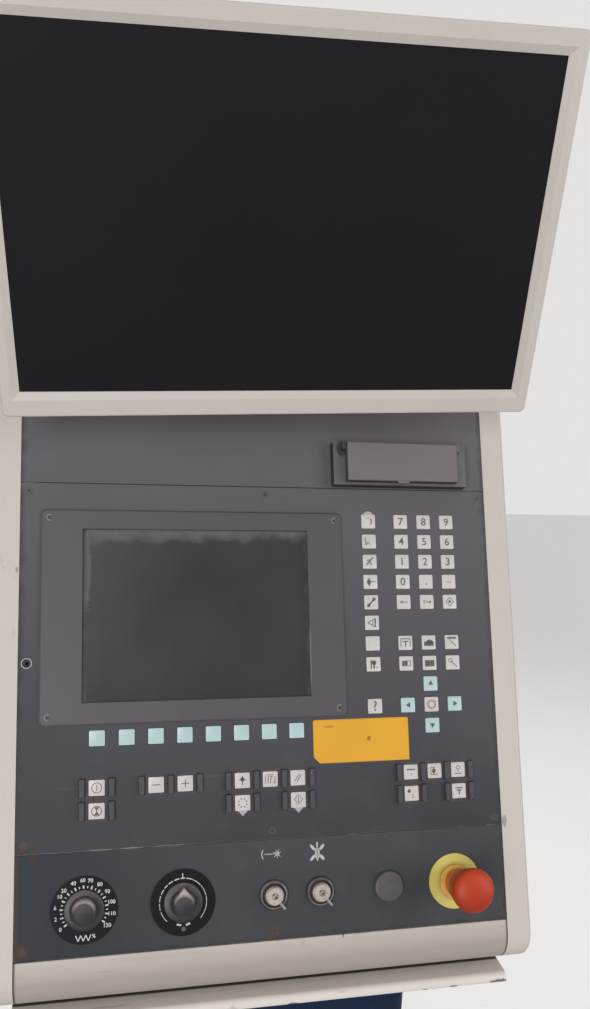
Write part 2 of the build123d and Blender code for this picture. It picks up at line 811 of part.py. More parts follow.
# Drive flap: shallow lid hung on two stub pins, with a thumb lip at its lower edge
with BuildPart() as drive_flap:
    with BuildSketch(face.offset(bay_proud + flap_gap)):
        with Locations(bay_centre):
            Rectangle(flap_width, flap_height)
    extrude(amount=flap_thickness)
    flap_front = faces().sort_by(Axis((0, 0, 0), face.z_dir))[-1]
    chamfer(flap_front.edges(), 1.2)
    flap_back = faces().sort_by(Axis((0, 0, 0), face.z_dir))[0]
    fillet(flap_back.edges().sort_by(Axis((0, 0, 0), face.y_dir))[-1], flap_pin)
    with BuildSketch(face.offset(bay_proud + flap_gap)):
        with Locations(bay_centre):
            Rectangle(flap_width - 2 * flap_wall, flap_height - 2 * flap_wall)
    extrude(amount=flap_thickness - flap_wall, mode=Mode.SUBTRACT)
    with BuildSketch(face.offset(bay_proud + flap_gap + flap_thickness - 3)):
        with Locations((bay_centre[0], bay_centre[1] - flap_height / 2)):
            Rectangle(thumb_lip_width, 2 * thumb_lip)
    extrude(amount=flap_wall)
    with Locations(
        *[
            Location(face_point(bay_centre[0] + s * (flap_width + flap_ear) / 2, flap_pin_v, flap_pin_w), (0, 90, 0))
            for s in (-1, 1)
        ]
    ):
        Cylinder(flap_pin / 2, flap_ear + flap_wall)
save(drive_flap, "drive_flap")

# Dial discs: two round scale plates on the switch plate
dial_places = [(override_x, control_row), (airflow_x, control_row)]
with BuildPart() as dial_discs:
    with BuildSketch(face):
        with Locations(*dial_places):
            Circle(dial_diameter / 2)
            Circle(bushing_diameter / 2 + seat_gap, mode=Mode.SUBTRACT)
    extrude(amount=dial_thickness)
save(dial_discs, "dial_discs")

# Contact blocks: two potentiometers with their bushings, and the blocks behind the switches
with BuildPart() as contact_blocks:
    with BuildSketch(face.offset(-plate_thickness)):
        with Locations(*dial_places):
            Circle(pot_diameter / 2)
    extrude(amount=-pot_depth)
    with BuildSketch(face.offset(-plate_thickness)):
        with Locations(*dial_places):
            Circle(bushing_diameter / 2)
    extrude(amount=plate_thickness + dial_thickness + 1)
    with BuildSketch(face.offset(dial_thickness + 1)):
        with Locations(*dial_places):
            Circle(shaft_diameter / 2 + running_gap)
    extrude(amount=-plate_thickness - dial_thickness - pot_depth / 2, mode=Mode.SUBTRACT)
    with BuildSketch(face.offset(-barrel_depth)):
        with Locations(*[(x, control_row) for x in (*switch_x, stop_x)]):
            Rectangle(block_width, 1.2 * block_width)
    extrude(amount=-block_depth)
save(contact_blocks, "contact_blocks")

# Knobs: skirted round knob, and a pointer knob with a raised nose
with BuildPart() as override_knob:
    knob_foot = dial_thickness + knob_gap
    with BuildSketch(face.offset(knob_foot)):
        with Locations((override_x, control_row)):
            Circle(knob_diameter / 2)
    extrude(amount=3)
    with BuildSketch(face.offset(knob_foot + 3)):
        with Locations((override_x, control_row)):
            Circle(knob_top_diameter / 2 + 1.5)
    extrude(amount=knob_height - 3, taper=6)
    fillet(faces().sort_by(Axis((0, 0, 0), face.z_dir))[-1].edges(), 1.5)
    with BuildSketch(face.offset(knob_foot)):
        with Locations((override_x, control_row)):
            Circle(bushing_diameter / 2 + 1)
    extrude(amount=2, mode=Mode.SUBTRACT)
    with BuildSketch(face.offset(knob_foot + 2)):
        with Locations((override_x, control_row)):
            Circle(shaft_diameter / 2)
    extrude(amount=-plate_thickness - knob_foot - pot_depth / 4)
save(override_knob, "override_knob")

with BuildPart() as airflow_knob:
    with BuildSketch(face.offset(knob_foot)):
        with Locations((airflow_x, control_row)):
            Circle(knob_diameter / 2)
            nose_v = control_row + knob_diameter / 2
            with BuildLine():
                Polyline(
                    (airflow_x - knob_diameter / 3, nose_v - 6),
                    (airflow_x, nose_v + 4),
                    (airflow_x + knob_diameter / 3, nose_v - 6),
                    close=True,
                )
            make_face()
    extrude(amount=4)
    with BuildSketch(face.offset(knob_foot + 4)):
        with Locations((airflow_x, control_row)):
            Circle(knob_top_diameter / 2)
        with BuildLine():
            Polyline(
                (airflow_x - 4, control_row),
                (airflow_x, nose_v - 1),
                (airflow_x + 4, control_row),
                close=True,
            )
        make_face()
    extrude(amount=knob_height - 5, taper=4)
    with BuildSketch(face.offset(knob_foot)):
        with Locations((airflow_x, control_row)):
            Circle(bushing_diameter / 2 + 1)
    extrude(amount=2, mode=Mode.SUBTRACT)
    with BuildSketch(face.offset(knob_foot + 2)):
        with Locations((airflow_x, control_row)):
            Circle(shaft_diameter / 2)
    extrude(amount=-plate_thickness - knob_foot - pot_depth / 4)
save(airflow_knob, "airflow_knob")

# Key switches: two fixed barrels, and in each a turning plug with its key left in
with BuildPart() as switch_barrels:
    switch_places = [(x, control_row) for x in switch_x]
    with BuildSketch(face):
        with Locations(*switch_places):
            Circle(barrel_rim / 2)
    extrude(amount=2.5, taper=20)
    with BuildSketch(face.offset(-barrel_depth)):
        with Locations(*switch_places):
            Circle(barrel_diameter / 2)
    extrude(amount=barrel_depth + barrel_proud)
    with BuildSketch(face.offset(barrel_proud)):
        with Locations(*switch_places):
            Circle(plug_diameter / 2 + running_gap)
    extrude(amount=-barrel_depth, mode=Mode.SUBTRACT)
save(switch_barrels, "switch_barrels")

for name, x in zip(("left_switch_key", "right_switch_key"), switch_x):
    with BuildPart() as switch_key:
        with BuildSketch(face.offset(barrel_proud - barrel_depth + seat_gap)):
            with Locations((x, control_row)):
                Circle(plug_diameter / 2)
        extrude(amount=barrel_depth + plug_proud)
        fillet(faces().sort_by(Axis((0, 0, 0), face.z_dir))[-1].edges(), 0.8)
        with BuildSketch(face.offset(barrel_proud + 1)):
            with Locations(Location((x, control_row, 0), (0, 0, tang_angle))):
                SlotOverall(2 * tang_length, tang_thickness)
                with Locations((-tang_length, 0)):
                    Rectangle(2 * tang_length, 2 * tang_thickness, mode=Mode.SUBTRACT)
        extrude(amount=tang_height)
    save(switch_key, name)

# Blanking cap: closes the spare hole
with BuildPart() as blanking_cap:
    with BuildSketch(face):
        with Locations((blank_x, control_row)):
            Circle(cap_diameter / 2)
    extrude(amount=cap_height)
    fillet(faces().sort_by(Axis((0, 0, 0), face.z_dir))[-1].edges(), 2.5)
    with BuildSketch(face):
        with Locations((blank_x, control_row)):
            Circle(mount_hole / 2)
    extrude(amount=-plate_thickness - 5)
save(blanking_cap, "blanking_cap")

# Stop button: yellow disc, collar with its neck through the plate, sliding stem, twisting head. The
# stem carries a flared neck that slides over the collar's guide.
with BuildPart() as stop_disc:
    with BuildSketch(face):
        with Locations((stop_x, control_row)):
            Circle(stop_disc_diameter / 2)
            Circle(mount_hole / 2 + seat_gap, mode=Mode.SUBTRACT)
    extrude(amount=stop_disc_thickness)
save(stop_disc, "stop_disc")

stop_axis = Plane(origin=face_point(stop_x, control_row, 0), x_dir=(1, 0, 0), z_dir=face.z_dir)
stop_section = Plane(origin=stop_axis.origin, x_dir=(1, 0, 0), z_dir=-stop_axis.y_dir)
with BuildPart() as stop_collar:
    with BuildSketch(stop_section):
        with BuildLine():
            Polyline(
                (stem_diameter / 2 + running_gap, -barrel_depth),
                (mount_hole / 2, -barrel_depth),
                (mount_hole / 2, stop_disc_thickness),
                (collar_base_diameter / 2, stop_disc_thickness),
                (collar_base_diameter / 2, collar_shoulder - 1),
                (collar_base_diameter / 2 - 1, collar_shoulder),
                (collar_guide_diameter / 2, collar_shoulder),
                (collar_guide_diameter / 2, collar_top),
                (stem_diameter / 2 + running_gap, collar_top),
                close=True,
            )
        make_face()
    revolve(axis=Axis(stop_axis.origin, stop_axis.z_dir))
save(stop_collar, "stop_collar")

with BuildPart() as stop_stem:
    with BuildSketch(face.offset(stem_bottom)):
        with Locations((stop_x, control_row)):
            Circle(stem_diameter / 2)
    extrude(amount=stem_top - stem_bottom)
    chamfer(faces().sort_by(Axis((0, 0, 0), face.z_dir))[0].edges(), 1)
    with BuildSketch(stop_section):
        with BuildLine():
            Polyline(
                (stem_diameter / 2 - 1, head_foot - seat_gap),
                (head_foot_diameter / 2, head_foot - seat_gap),
                (neck_foot_diameter / 2, neck_foot),
                (collar_guide_diameter / 2 + neck_gap, neck_foot),
                (collar_guide_diameter / 2 + neck_gap, collar_top + stop_travel + neck_gap),
                (stem_diameter / 2 - 1, collar_top + stop_travel + neck_gap),
                close=True,
            )
        make_face()
    revolve(axis=Axis(stop_axis.origin, stop_axis.z_dir))
save(stop_stem, "stop_stem")

with BuildPart() as stop_head:
    with BuildSketch(stop_section):
        with BuildLine():
            rim = Polyline(
                (0, stem_top + seat_gap),
                (stem_diameter / 2 + running_gap, stem_top + seat_gap),
                (stem_diameter / 2 + running_gap, head_foot),
                (head_foot_diameter / 2, head_foot),
                (head_diameter / 2 - 1, head_top - 15),
            )
            side_curve = ThreePointArc(
                rim @ 1,
                (head_diameter / 2, head_top - 9),
                (head_diameter / 2 - 3, head_top - 4),
            )
            crown = Spline(
                side_curve @ 1,
                (0, head_top),
                tangents=[side_curve % 1, (-1, 0)],
            )
            Line(crown @ 1, rim @ 0)
        make_face()
    revolve(axis=Axis(stop_axis.origin, stop_axis.z_dir))
save(stop_head, "stop_head")

# Panel screws: countersunk screws in the plates and in the screen frame
with BuildPart() as panel_screws:
    with Locations(face):
        with Locations(*plate_screws):
            Cone(
                screw_shank / 2,
                screw_head / 2,
                (screw_head - screw_shank) / 2,
                align=(Align.CENTER, Align.CENTER, Align.MAX),
            )
            Cylinder(
                screw_shank / 2,
                plate_thickness + ledge_thickness - 0.5,
                align=(Align.CENTER, Align.CENTER, Align.MAX),
            )
    with Locations(face.offset(frame_thickness)):
        with Locations(*frame_screws):
            Cone(
                screw_shank / 2,
                frame_screw_head / 2,
                (frame_screw_head - screw_shank) / 2,
                align=(Align.CENTER, Align.CENTER, Align.MAX),
            )
            Cylinder(
                screw_shank / 2,
                frame_thickness + plate_thickness,
                align=(Align.CENTER, Align.CENTER, Align.MAX),
            )
save(panel_screws, "panel_screws")

# Rear door: tray with two columns of pressed louvres, latch holes and hinge knuckles. Its rims are
# strips welded to the skin.
back = Plane(origin=(0, housing_back_y, door_mid_z), x_dir=(1, 0, 0), z_dir=(0, -1, 0))
door_half_width = opening_width / 2 + door_overlap
door_half_height = opening_height / 2 + door_overlap
door_face_y = housing_back_y + door_gap + door_depth
louvre_x = opening_width / 4 - 10
louvre_z = [door_mid_z + (i - (louvre_rows - 1) / 2) * louvre_pitch for i in range(louvre_rows)]
hinge_x = -door_half_width - hinge_offset
hinge_y = housing_back_y + door_gap + door_depth / 2 - 0.5
latch_x = opening_width / 2 - latch_inset
latch_places = [(latch_x, s * latch_spread) for s in (1, -1)]
hinge_levels = [door_mid_z + s * hinge_spread for s in (1, -1)]
with BuildPart() as rear_door:
    with BuildSketch(back.offset(-door_gap)):
        RectangleRounded(2 * door_half_width, 2 * door_half_height, 3)
    extrude(amount=-door_depth)
    with BuildSketch(back.offset(-door_gap)):
        RectangleRounded(2 * (door_half_width - door_skin), 2 * (door_half_height - door_skin), 3 - door_skin)
    extrude(amount=door_skin - door_depth, mode=Mode.SUBTRACT)
    for x in (-louvre_x, louvre_x):
        for inset, root_y, operation in (
            (0, door_face_y - door_skin / 2, Mode.ADD),
            (door_skin, door_face_y, Mode.SUBTRACT),
        ):
            with BuildSketch(Plane.YZ.offset(x - louvre_length / 2 + inset)):
                with Locations(*[(door_face_y, z) for z in louvre_z]):
                    Circle(louvre_radius - inset)
                    hood = 3 * louvre_radius
                    Rectangle(hood, louvre_radius, align=(Align.CENTER, Align.MAX), mode=Mode.SUBTRACT)
                with Locations(*[(root_y, z) for z in louvre_z]):
                    Rectangle(hood, hood, align=(Align.MAX, Align.CENTER), mode=Mode.SUBTRACT)
            extrude(amount=louvre_length - 2 * inset, mode=operation)
    with BuildSketch(back.offset(-door_gap)):
        with Locations(*[(x, z - door_mid_z) for x in (-louvre_x, louvre_x) for z in louvre_z]):
            Rectangle(louvre_length - 2 * door_skin, louvre_slot, align=(Align.CENTER, Align.MIN))
        with Locations(*latch_places):
            Circle(latch_body / 2 + running_gap)
    extrude(amount=-door_depth, mode=Mode.SUBTRACT)
    for z in hinge_levels:
        with BuildSketch(Plane.XY.offset(z - knuckle_length / 2)):
            with Locations((hinge_x, hinge_y)):
                Circle(knuckle_radius)
                Rectangle(hinge_offset + door_skin - 0.3, knuckle_radius, align=(Align.MIN, Align.MIN))
                Circle(hinge_pin / 2 + running_gap, mode=Mode.SUBTRACT)
        extrude(amount=knuckle_length)
    split(bisect_by=back.offset(door_skin - door_gap - door_depth), keep=Keep.BOTH)
    for side in (-1, 1):
        split(bisect_by=Plane.YZ.offset(side * (door_half_width - 3)), keep=Keep.BOTH)
save(rear_door, "rear_door")

# Door hinges: leaves welded to the back sheet, each with two knuckles and its pin
with BuildPart() as door_hinges:
    leaf_length = 3 * knuckle_length
    for z in hinge_levels:
        with BuildSketch(Plane.XY.offset(z - leaf_length / 2)):
            with Locations((hinge_x - leaf_width, housing_back_y)):
                Rectangle(leaf_width - knuckle_radius - 1, leaf_thickness, align=(Align.MIN, Align.MIN))
        extrude(amount=leaf_length)
        for side in (-1, 1):
            with BuildSketch(Plane.XY.offset(z + side * (knuckle_length / 2 + 0.5))):
                with Locations((hinge_x, hinge_y)):
                    Circle(knuckle_radius)
                with Locations((hinge_x, housing_back_y)):
                    Rectangle(knuckle_radius, hinge_y - housing_back_y, align=(Align.MAX, Align.MIN))
                    Rectangle(leaf_width, leaf_thickness, align=(Align.MAX, Align.MIN))
            extrude(amount=side * (knuckle_length - 0.5))
        with BuildSketch(Plane.XY.offset(z - leaf_length / 2)):
            with Locations((hinge_x, hinge_y)):
                Circle(hinge_pin / 2)
        extrude(amount=leaf_length)
save(door_hinges, "door_hinges")

# Door latches: quarter-turn latches with a square recess, cams upright (unlocked) at rest
for name, place in zip(("door_latch_upper", "door_latch_lower"), latch_places):
    with BuildPart() as door_latch:
        cam_y = -sheet - cam_gap
        with BuildSketch(back.offset(-door_gap - door_depth)):
            with Locations(place):
                Circle(latch_head / 2)
        extrude(amount=-latch_head_height)
        fillet(faces().sort_by(Axis.Y)[-1].edges(), 1)
        with BuildSketch(back.offset(-door_gap - door_depth - latch_head_height)):
            with Locations(place):
                Rectangle(latch_drive, latch_drive)
        extrude(amount=latch_head_height - 1, mode=Mode.SUBTRACT)
        with BuildSketch(back.offset(-door_gap - door_depth)):
            with Locations(place):
                Circle(latch_body / 2)
        extrude(amount=door_gap + door_depth - cam_y)
        with BuildSketch(back.offset(-door_gap - door_depth + door_skin + seat_gap)):
            with Locations(place):
                Circle(latch_body / 2 + 3)
        extrude(amount=3)
        with BuildSketch(back.offset(-cam_y)):
            with Locations(place):
                Rectangle(cam_width, cam_length, align=(Align.CENTER, Align.MIN))
                Circle(latch_body / 2)
        extrude(amount=cam_thickness)
    save(door_latch, name)

# Monitor: flat screen in a bevelled bezel, and its chassis with the back cover over it
roll = radians(monitor_roll)
tip = radians(monitor_lean)
monitor = Plane(
    origin=(0, monitor_foot_y, monitor_foot_z),
    x_dir=(cos(roll), -sin(roll) * sin(tip), sin(roll) * cos(tip)),
    z_dir=(0, -cos(tip), -sin(tip)),
)
picture_middle = (0, picture_height / 2)
bezel_middle = (0, (picture_height + bezel_head - bezel_foot) / 2)
bezel_width = picture_width + 2 * bezel_side
bezel_height = picture_height + bezel_head + bezel_foot
with BuildPart() as monitor_screen:
    with BuildSketch(monitor):
        with Locations(picture_middle):
            Rectangle(picture_width + 2 * rebate, picture_height + 2 * rebate)
    extrude(amount=-bezel_depth)
save(monitor_screen, "monitor_screen")

with BuildPart() as monitor_bezel:
    with BuildSketch(monitor.offset(-bezel_depth)):
        with Locations(bezel_middle):
            RectangleRounded(bezel_width, bezel_height, bezel_corner)
    extrude(amount=bezel_depth + bezel_proud)
    fillet(faces().sort_by(Axis((0, 0, 0), monitor.z_dir))[-1].edges(), 2)
    with BuildSketch(monitor.offset(-bezel_depth)):
        with Locations(picture_middle):
            Rectangle(picture_width + 2 * (rebate + seat_gap), picture_height + 2 * (rebate + seat_gap))
    extrude(amount=bezel_depth, mode=Mode.SUBTRACT)
    with BuildSketch(monitor):
        with Locations(picture_middle):
            Rectangle(picture_width, picture_height)
    extrude(amount=bezel_proud, mode=Mode.SUBTRACT)
    with BuildSketch(monitor.offset(bezel_lip)):
        with Locations(picture_middle):
            Rectangle(picture_width, picture_height)
    with BuildSketch(monitor.offset(bezel_proud)):
        with Locations(picture_middle):
            Rectangle(picture_width + 2 * bezel_slope, picture_height + 2 * bezel_slope)
    loft(mode=Mode.SUBTRACT)
save(monitor_bezel, "monitor_bezel")

with BuildPart() as monitor_back:
    slope_w = -bezel_depth - back_rim_depth
    with BuildSketch(monitor.offset(-bezel_depth)):
        with Locations(bezel_middle):
            Rectangle(bezel_width - 8, bezel_height - 8)
    with BuildSketch(monitor.offset(slope_w)):
        with Locations(bezel_middle):
            Rectangle(bezel_width - 37, bezel_height - 39)
    loft()
    with BuildSketch(monitor.offset(slope_w)):
        with Locations(picture_middle):
            RectangleRounded(hump_width, hump_height, 10)
    extrude(amount=-back_hump_depth)
    with BuildSketch(monitor.offset(slope_w)):
        with Locations(picture_middle):
            RectangleRounded(hump_width - 2 * back_wall, hump_height - 2 * back_wall, 10 - back_wall)
    extrude(amount=back_wall - back_hump_depth, mode=Mode.SUBTRACT)
    for rise, depth_w in (
        (hump_height / 2 + 18, slope_w),
        (hump_height / 2 - 20, slope_w - back_hump_depth),
    ):
        with BuildSketch(monitor.offset(depth_w)):
            with Locations(
                *[
                    ((i - (vent_count - 1) / 2) * vent_pitch, picture_middle[1] + side * rise)
                    for i in range(vent_count)
                    for side in (-1, 1)
                ]
            ):
                Rectangle(4, 16)
        extrude(amount=back_wall, mode=Mode.SUBTRACT)
save(monitor_back, "monitor_back")

# Monitor bracket: square plate on the monitor's back, with two lugs round the tilt pin
back_w = -bezel_depth - back_rim_depth - back_hump_depth
lug_w = back_w - bracket_thickness
pin_place = monitor.from_local_coords(Vector(0, picture_height / 2, lug_w - pin_behind))
lug_plane = Plane(
    origin=(0, pin_place.Y, pin_place.Z), x_dir=(0, cos(tip), sin(tip)), z_dir=(1, 0, 0)
)
with BuildPart() as monitor_bracket:
    with BuildSketch(monitor.offset(back_w)):
        with Locations(picture_middle):
            RectangleRounded(bracket_size, bracket_size, 6)
    extrude(amount=-bracket_thickness)
    with BuildSketch(monitor.offset(lug_w)):
        with Locations(picture_middle):
            with GridLocations(vesa_pitch, vesa_pitch, 2, 2):
                Circle(4)
    extrude(amount=-2.5)
    for side in (-1, 1):
        with BuildSketch(lug_plane.offset(side * lug_half_gap)):
            Circle(lug_radius)
            with Locations((-pin_behind, 0)):
                Rectangle(bracket_thickness, 4 * lug_radius)
            make_hull()
            Circle(tilt_pin / 2 + running_gap, mode=Mode.SUBTRACT)
        extrude(amount=side * lug_thickness)
save(monitor_bracket, "monitor_bracket")

# Monitor post: base on the roof, two inclined side plates, a web between them and the tilt pin
post_inner = lug_half_gap + lug_thickness + seat_gap
with BuildPart() as monitor_post:
    with BuildSketch(Plane.XY.offset(roof_z)):
        with Locations((0, post_mid_y)):
            RectangleRounded(post_base_width, post_base_depth, 6)
        with Locations(*post_bolts):
            Circle((post_bolt + bolt_clearance) / 2, mode=Mode.SUBTRACT)
    extrude(amount=post_wall)
    for side in (-1, 1):
        with BuildSketch(Plane.YZ.offset(side * post_inner)):
            with Locations((pin_place.Y, pin_place.Z)):
                Circle(lug_radius)
            with Locations((post_mid_y, roof_z + post_wall / 2)):
                Rectangle(post_base_depth * 0.75, post_wall)
            make_hull()
        extrude(amount=side * post_wall)
    with BuildSketch(Plane.YZ):
        with BuildLine():
            web_foot = Vector(post_mid_y + post_base_depth * 0.3, roof_z + post_wall)
            web_head = Vector(pin_place.Y, pin_place.Z)
            Line(web_foot, web_foot + (web_head - web_foot) * 0.72)
            offset(amount=post_wall, side=Side.LEFT)
        make_face()
    extrude(amount=post_inner, both=True)
    with Locations(Location((0, pin_place.Y, pin_place.Z), (0, 90, 0))):
        Cylinder(tilt_pin / 2, 2 * (post_inner + post_wall))
        for side in (-1, 1):
            with Locations((0, 0, side * (post_inner + post_wall + 2))):
                Cylinder(tilt_pin / 2 + 4, 4)
save(monitor_post, "monitor_post")
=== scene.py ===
import math

import bmesh
import bpy
from mathutils import Euler, Matrix, Vector


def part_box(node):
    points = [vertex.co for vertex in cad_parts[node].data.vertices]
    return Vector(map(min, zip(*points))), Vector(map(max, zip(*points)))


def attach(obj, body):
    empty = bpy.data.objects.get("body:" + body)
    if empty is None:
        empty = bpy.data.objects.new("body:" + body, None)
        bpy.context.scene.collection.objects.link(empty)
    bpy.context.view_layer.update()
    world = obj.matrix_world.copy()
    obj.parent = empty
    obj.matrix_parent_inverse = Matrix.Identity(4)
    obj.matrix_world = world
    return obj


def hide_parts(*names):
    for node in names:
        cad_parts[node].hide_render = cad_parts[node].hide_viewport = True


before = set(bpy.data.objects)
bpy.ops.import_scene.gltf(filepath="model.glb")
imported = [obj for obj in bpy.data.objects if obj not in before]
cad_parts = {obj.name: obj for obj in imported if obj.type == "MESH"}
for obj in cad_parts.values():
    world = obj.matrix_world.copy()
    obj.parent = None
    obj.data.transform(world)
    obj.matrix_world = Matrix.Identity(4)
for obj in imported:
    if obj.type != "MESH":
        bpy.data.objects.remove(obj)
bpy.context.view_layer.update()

# Studio: a pale floor and a white surround. Three broad lamps light the console softly, the strongest
# from the operator's left, and the camera stands where the photograph was taken from, a little left
# of the console and above the keys.


def shade(red, green, blue):
    """A colour as it looks on a screen, from 0 to 255, as the shaders' linear values."""
    values = [c / 255 for c in (red, green, blue)]
    linear = [c / 12.92 if c <= 0.04045 else ((c + 0.055) / 1.055) ** 2.4 for c in values]
    return (*linear, 1.0)


def feed(tree, socket, value):
    """Links a node's input, or gives it its value."""
    if isinstance(value, bpy.types.NodeSocket):
        tree.links.new(value, socket)
    elif value is not None:
        socket.default_value = value


def node(tree, kind, *inputs, **settings):
    """A shader node with its settings, and with each input linked or given its value."""
    made = tree.nodes.new("ShaderNode" + kind)
    for name, value in settings.items():
        setattr(made, name, value)
    for socket, value in zip(made.inputs, inputs):
        feed(tree, socket, value)
    return made


sharp_edge = math.radians(32)


def piece(name, bm, to_frame, *materials):
    """A finished piece: its place goes into its mesh, and only its sharp edges stay sharp."""
    bmesh.ops.transform(bm, matrix=to_frame, verts=bm.verts)
    bmesh.ops.recalc_face_normals(bm, faces=bm.faces)
    for face in bm.faces:
        face.smooth = True
    for edge in bm.edges:
        edge.smooth = len(edge.link_faces) == 2 and edge.calc_face_angle() < sharp_edge
    mesh = bpy.data.meshes.new(name)
    bm.to_mesh(mesh)
    bm.free()
    for material in materials:
        mesh.materials.append(material)
    made = bpy.data.objects.new(name, mesh)
    bpy.context.scene.collection.objects.link(made)
    return made


surround = bpy.data.worlds.new("surround")
surround.use_nodes = True
bpy.context.scene.world = surround
sky = surround.node_tree
sky.nodes.clear()
rays = node(sky, "LightPath")
seen = node(sky, "Math", rays.outputs["Is Camera Ray"], rays.outputs["Is Glossy Ray"], operation="MAXIMUM")
seen = node(sky, "Math", seen.outputs[0], rays.outputs["Is Transmission Ray"], operation="MAXIMUM")
room_light = node(sky, "Background", shade(236, 238, 242), 0.36)
white_wall = node(sky, "Background", shade(238, 237, 235), 0.9)
either = node(sky, "MixShader", seen.outputs[0], room_light.outputs[0], white_wall.outputs[0])
node(sky, "OutputWorld", either.outputs[0])

floor_paint = bpy.data.materials.new("floor_paint")
floor_paint.use_nodes = True
floor_shader = floor_paint.node_tree.nodes["Principled BSDF"]
floor_shader.inputs["Base Color"].default_value = shade(200, 198, 195)
floor_shader.inputs["Roughness"].default_value = 0.8
floor_shader.inputs["Emission Color"].default_value = shade(226, 225, 222)
floor_tree, glow = floor_paint.node_tree, 0.5
floor_rays = node(floor_tree, "LightPath")
floor_glow = node(floor_tree, "Math", floor_rays.outputs["Is Camera Ray"], glow, operation="MULTIPLY")
floor_tree.links.new(floor_glow.outputs[0], floor_shader.inputs["Emission Strength"])
floor_mesh, floor_reach = bmesh.new(), 9.0
bmesh.ops.create_grid(floor_mesh, x_segments=1, y_segments=1, size=floor_reach)
studio_floor = piece("studio_floor", floor_mesh, Matrix.Identity(4), floor_paint)

lamps_aim = Vector((0, 0, 1.25))
for name, place, power, size in (
    ("left_lamp", (-1.5, -3.2, 1.75), 62, 1.8),
    ("right_lamp", (2.4, -1.8, 2.0), 29, 1.8),
    ("back_lamp", (0.6, 2.6, 2.9), 48, 2.0),
):
    lamp_data = bpy.data.lights.new(name, "AREA")
    lamp_data.energy = power
    lamp_data.size = size
    lamp = bpy.data.objects.new(name, lamp_data)
    lamp.location = place
    lamp.rotation_euler = (lamps_aim - Vector(place)).to_track_quat("-Z", "Y").to_euler()
    bpy.context.scene.collection.objects.link(lamp)

camera_data = bpy.data.cameras.new("camera")
camera_data.lens = 33.19
camera_data.shift_x = -0.02824
camera_data.shift_y = 0.05391
camera = bpy.data.objects.new("camera", camera_data)
camera.location = (-0.1579, -0.9444, 1.4981)
camera.rotation_euler = [math.radians(a) for a in (78.729, -2.762, -12.738)]
bpy.context.scene.collection.objects.link(camera)
bpy.context.scene.camera = camera
bpy.context.scene.view_settings.view_transform = "Standard"

# Foot and column: hot-rolled plate and folded sheet, welded, sprayed dark blue and bolted together.
# The enamel is scratched and has worn to the primer in patches. The bolts are zinc plated.


def effect(name, *sockets):
    """A node group that turns a place on a piece, and the values named, into one mask."""
    group = bpy.data.node_groups.new(name, "ShaderNodeTree")
    group.interface.new_socket("Place", in_out="INPUT", socket_type="NodeSocketVector")
    for socket_name, value in sockets:
        kind = "NodeSocketFloat" if isinstance(value, float) else "NodeSocketVector"
        socket = group.interface.new_socket(socket_name, in_out="INPUT", socket_type=kind)
        socket.default_value = value
    group.interface.new_socket("Mask", in_out="OUTPUT", socket_type="NodeSocketFloat")
    return group, group.nodes.new("NodeGroupInput").outputs


def give_out(group, socket):
    """Ends a node group with its mask."""
    group.links.new(socket, group.nodes.new("NodeGroupOutput").inputs[0])


# blotches: soft clouds of the size given, such as dust or fading
blotches, value = effect("blotches", ("Size", 0.1), ("Low", 0.4), ("High", 0.75))
per_metre = node(blotches, "Math", 1.0, value["Size"], operation="DIVIDE")
cloud = node(blotches, "TexNoise", value["Place"], None, per_metre.outputs[0], 3.0)
spread = node(blotches, "MapRange", cloud.outputs[0], value["Low"], value["High"])
give_out(blotches, spread.outputs[0])

# scratches: the same, drawn out along one direction and cut off sharply
scratches, value = effect(
    "scratches", ("Size", 0.01), ("Stretch", (1.0, 8.0, 8.0)), ("Low", 0.66), ("High", 0.7)
)
drawn_out = node(scratches, "VectorMath", value["Place"], value["Stretch"], operation="MULTIPLY")
per_metre = node(scratches, "Math", 1.0, value["Size"], operation="DIVIDE")
streak = node(scratches, "TexNoise", drawn_out.outputs[0], None, per_metre.outputs[0], 2.0)
spread = node(scratches, "MapRange", streak.outputs[0], value["Low"], value["High"])
give_out(scratches, spread.outputs[0])

# spot: one ragged patch round a point, such as rust or a chip
spot, value = effect(
    "spot", ("Centre", (0.0, 0.0, 0.0)), ("Radius", 0.01), ("Ragged", 0.9), ("Squash", (1.0, 1.0, 1.0))
)
offset = node(spot, "VectorMath", value["Place"], value["Centre"], operation="SUBTRACT")
offset = node(spot, "VectorMath", offset.outputs[0], value["Squash"], operation="MULTIPLY")
distance = node(spot, "VectorMath", offset.outputs[0], operation="LENGTH")
share = node(spot, "Math", distance.outputs["Value"], value["Radius"], operation="DIVIDE")
torn = node(spot, "TexNoise", value["Place"], None, 260.0, 3.0)
torn = node(spot, "Math", torn.outputs[0], 0.5, operation="SUBTRACT")
torn = node(spot, "Math", torn.outputs[0], value["Ragged"], share.outputs[0], operation="MULTIPLY_ADD")
spread = node(spot, "MapRange", torn.outputs[0], 1.0, 0.72)
give_out(spot, spread.outputs[0])

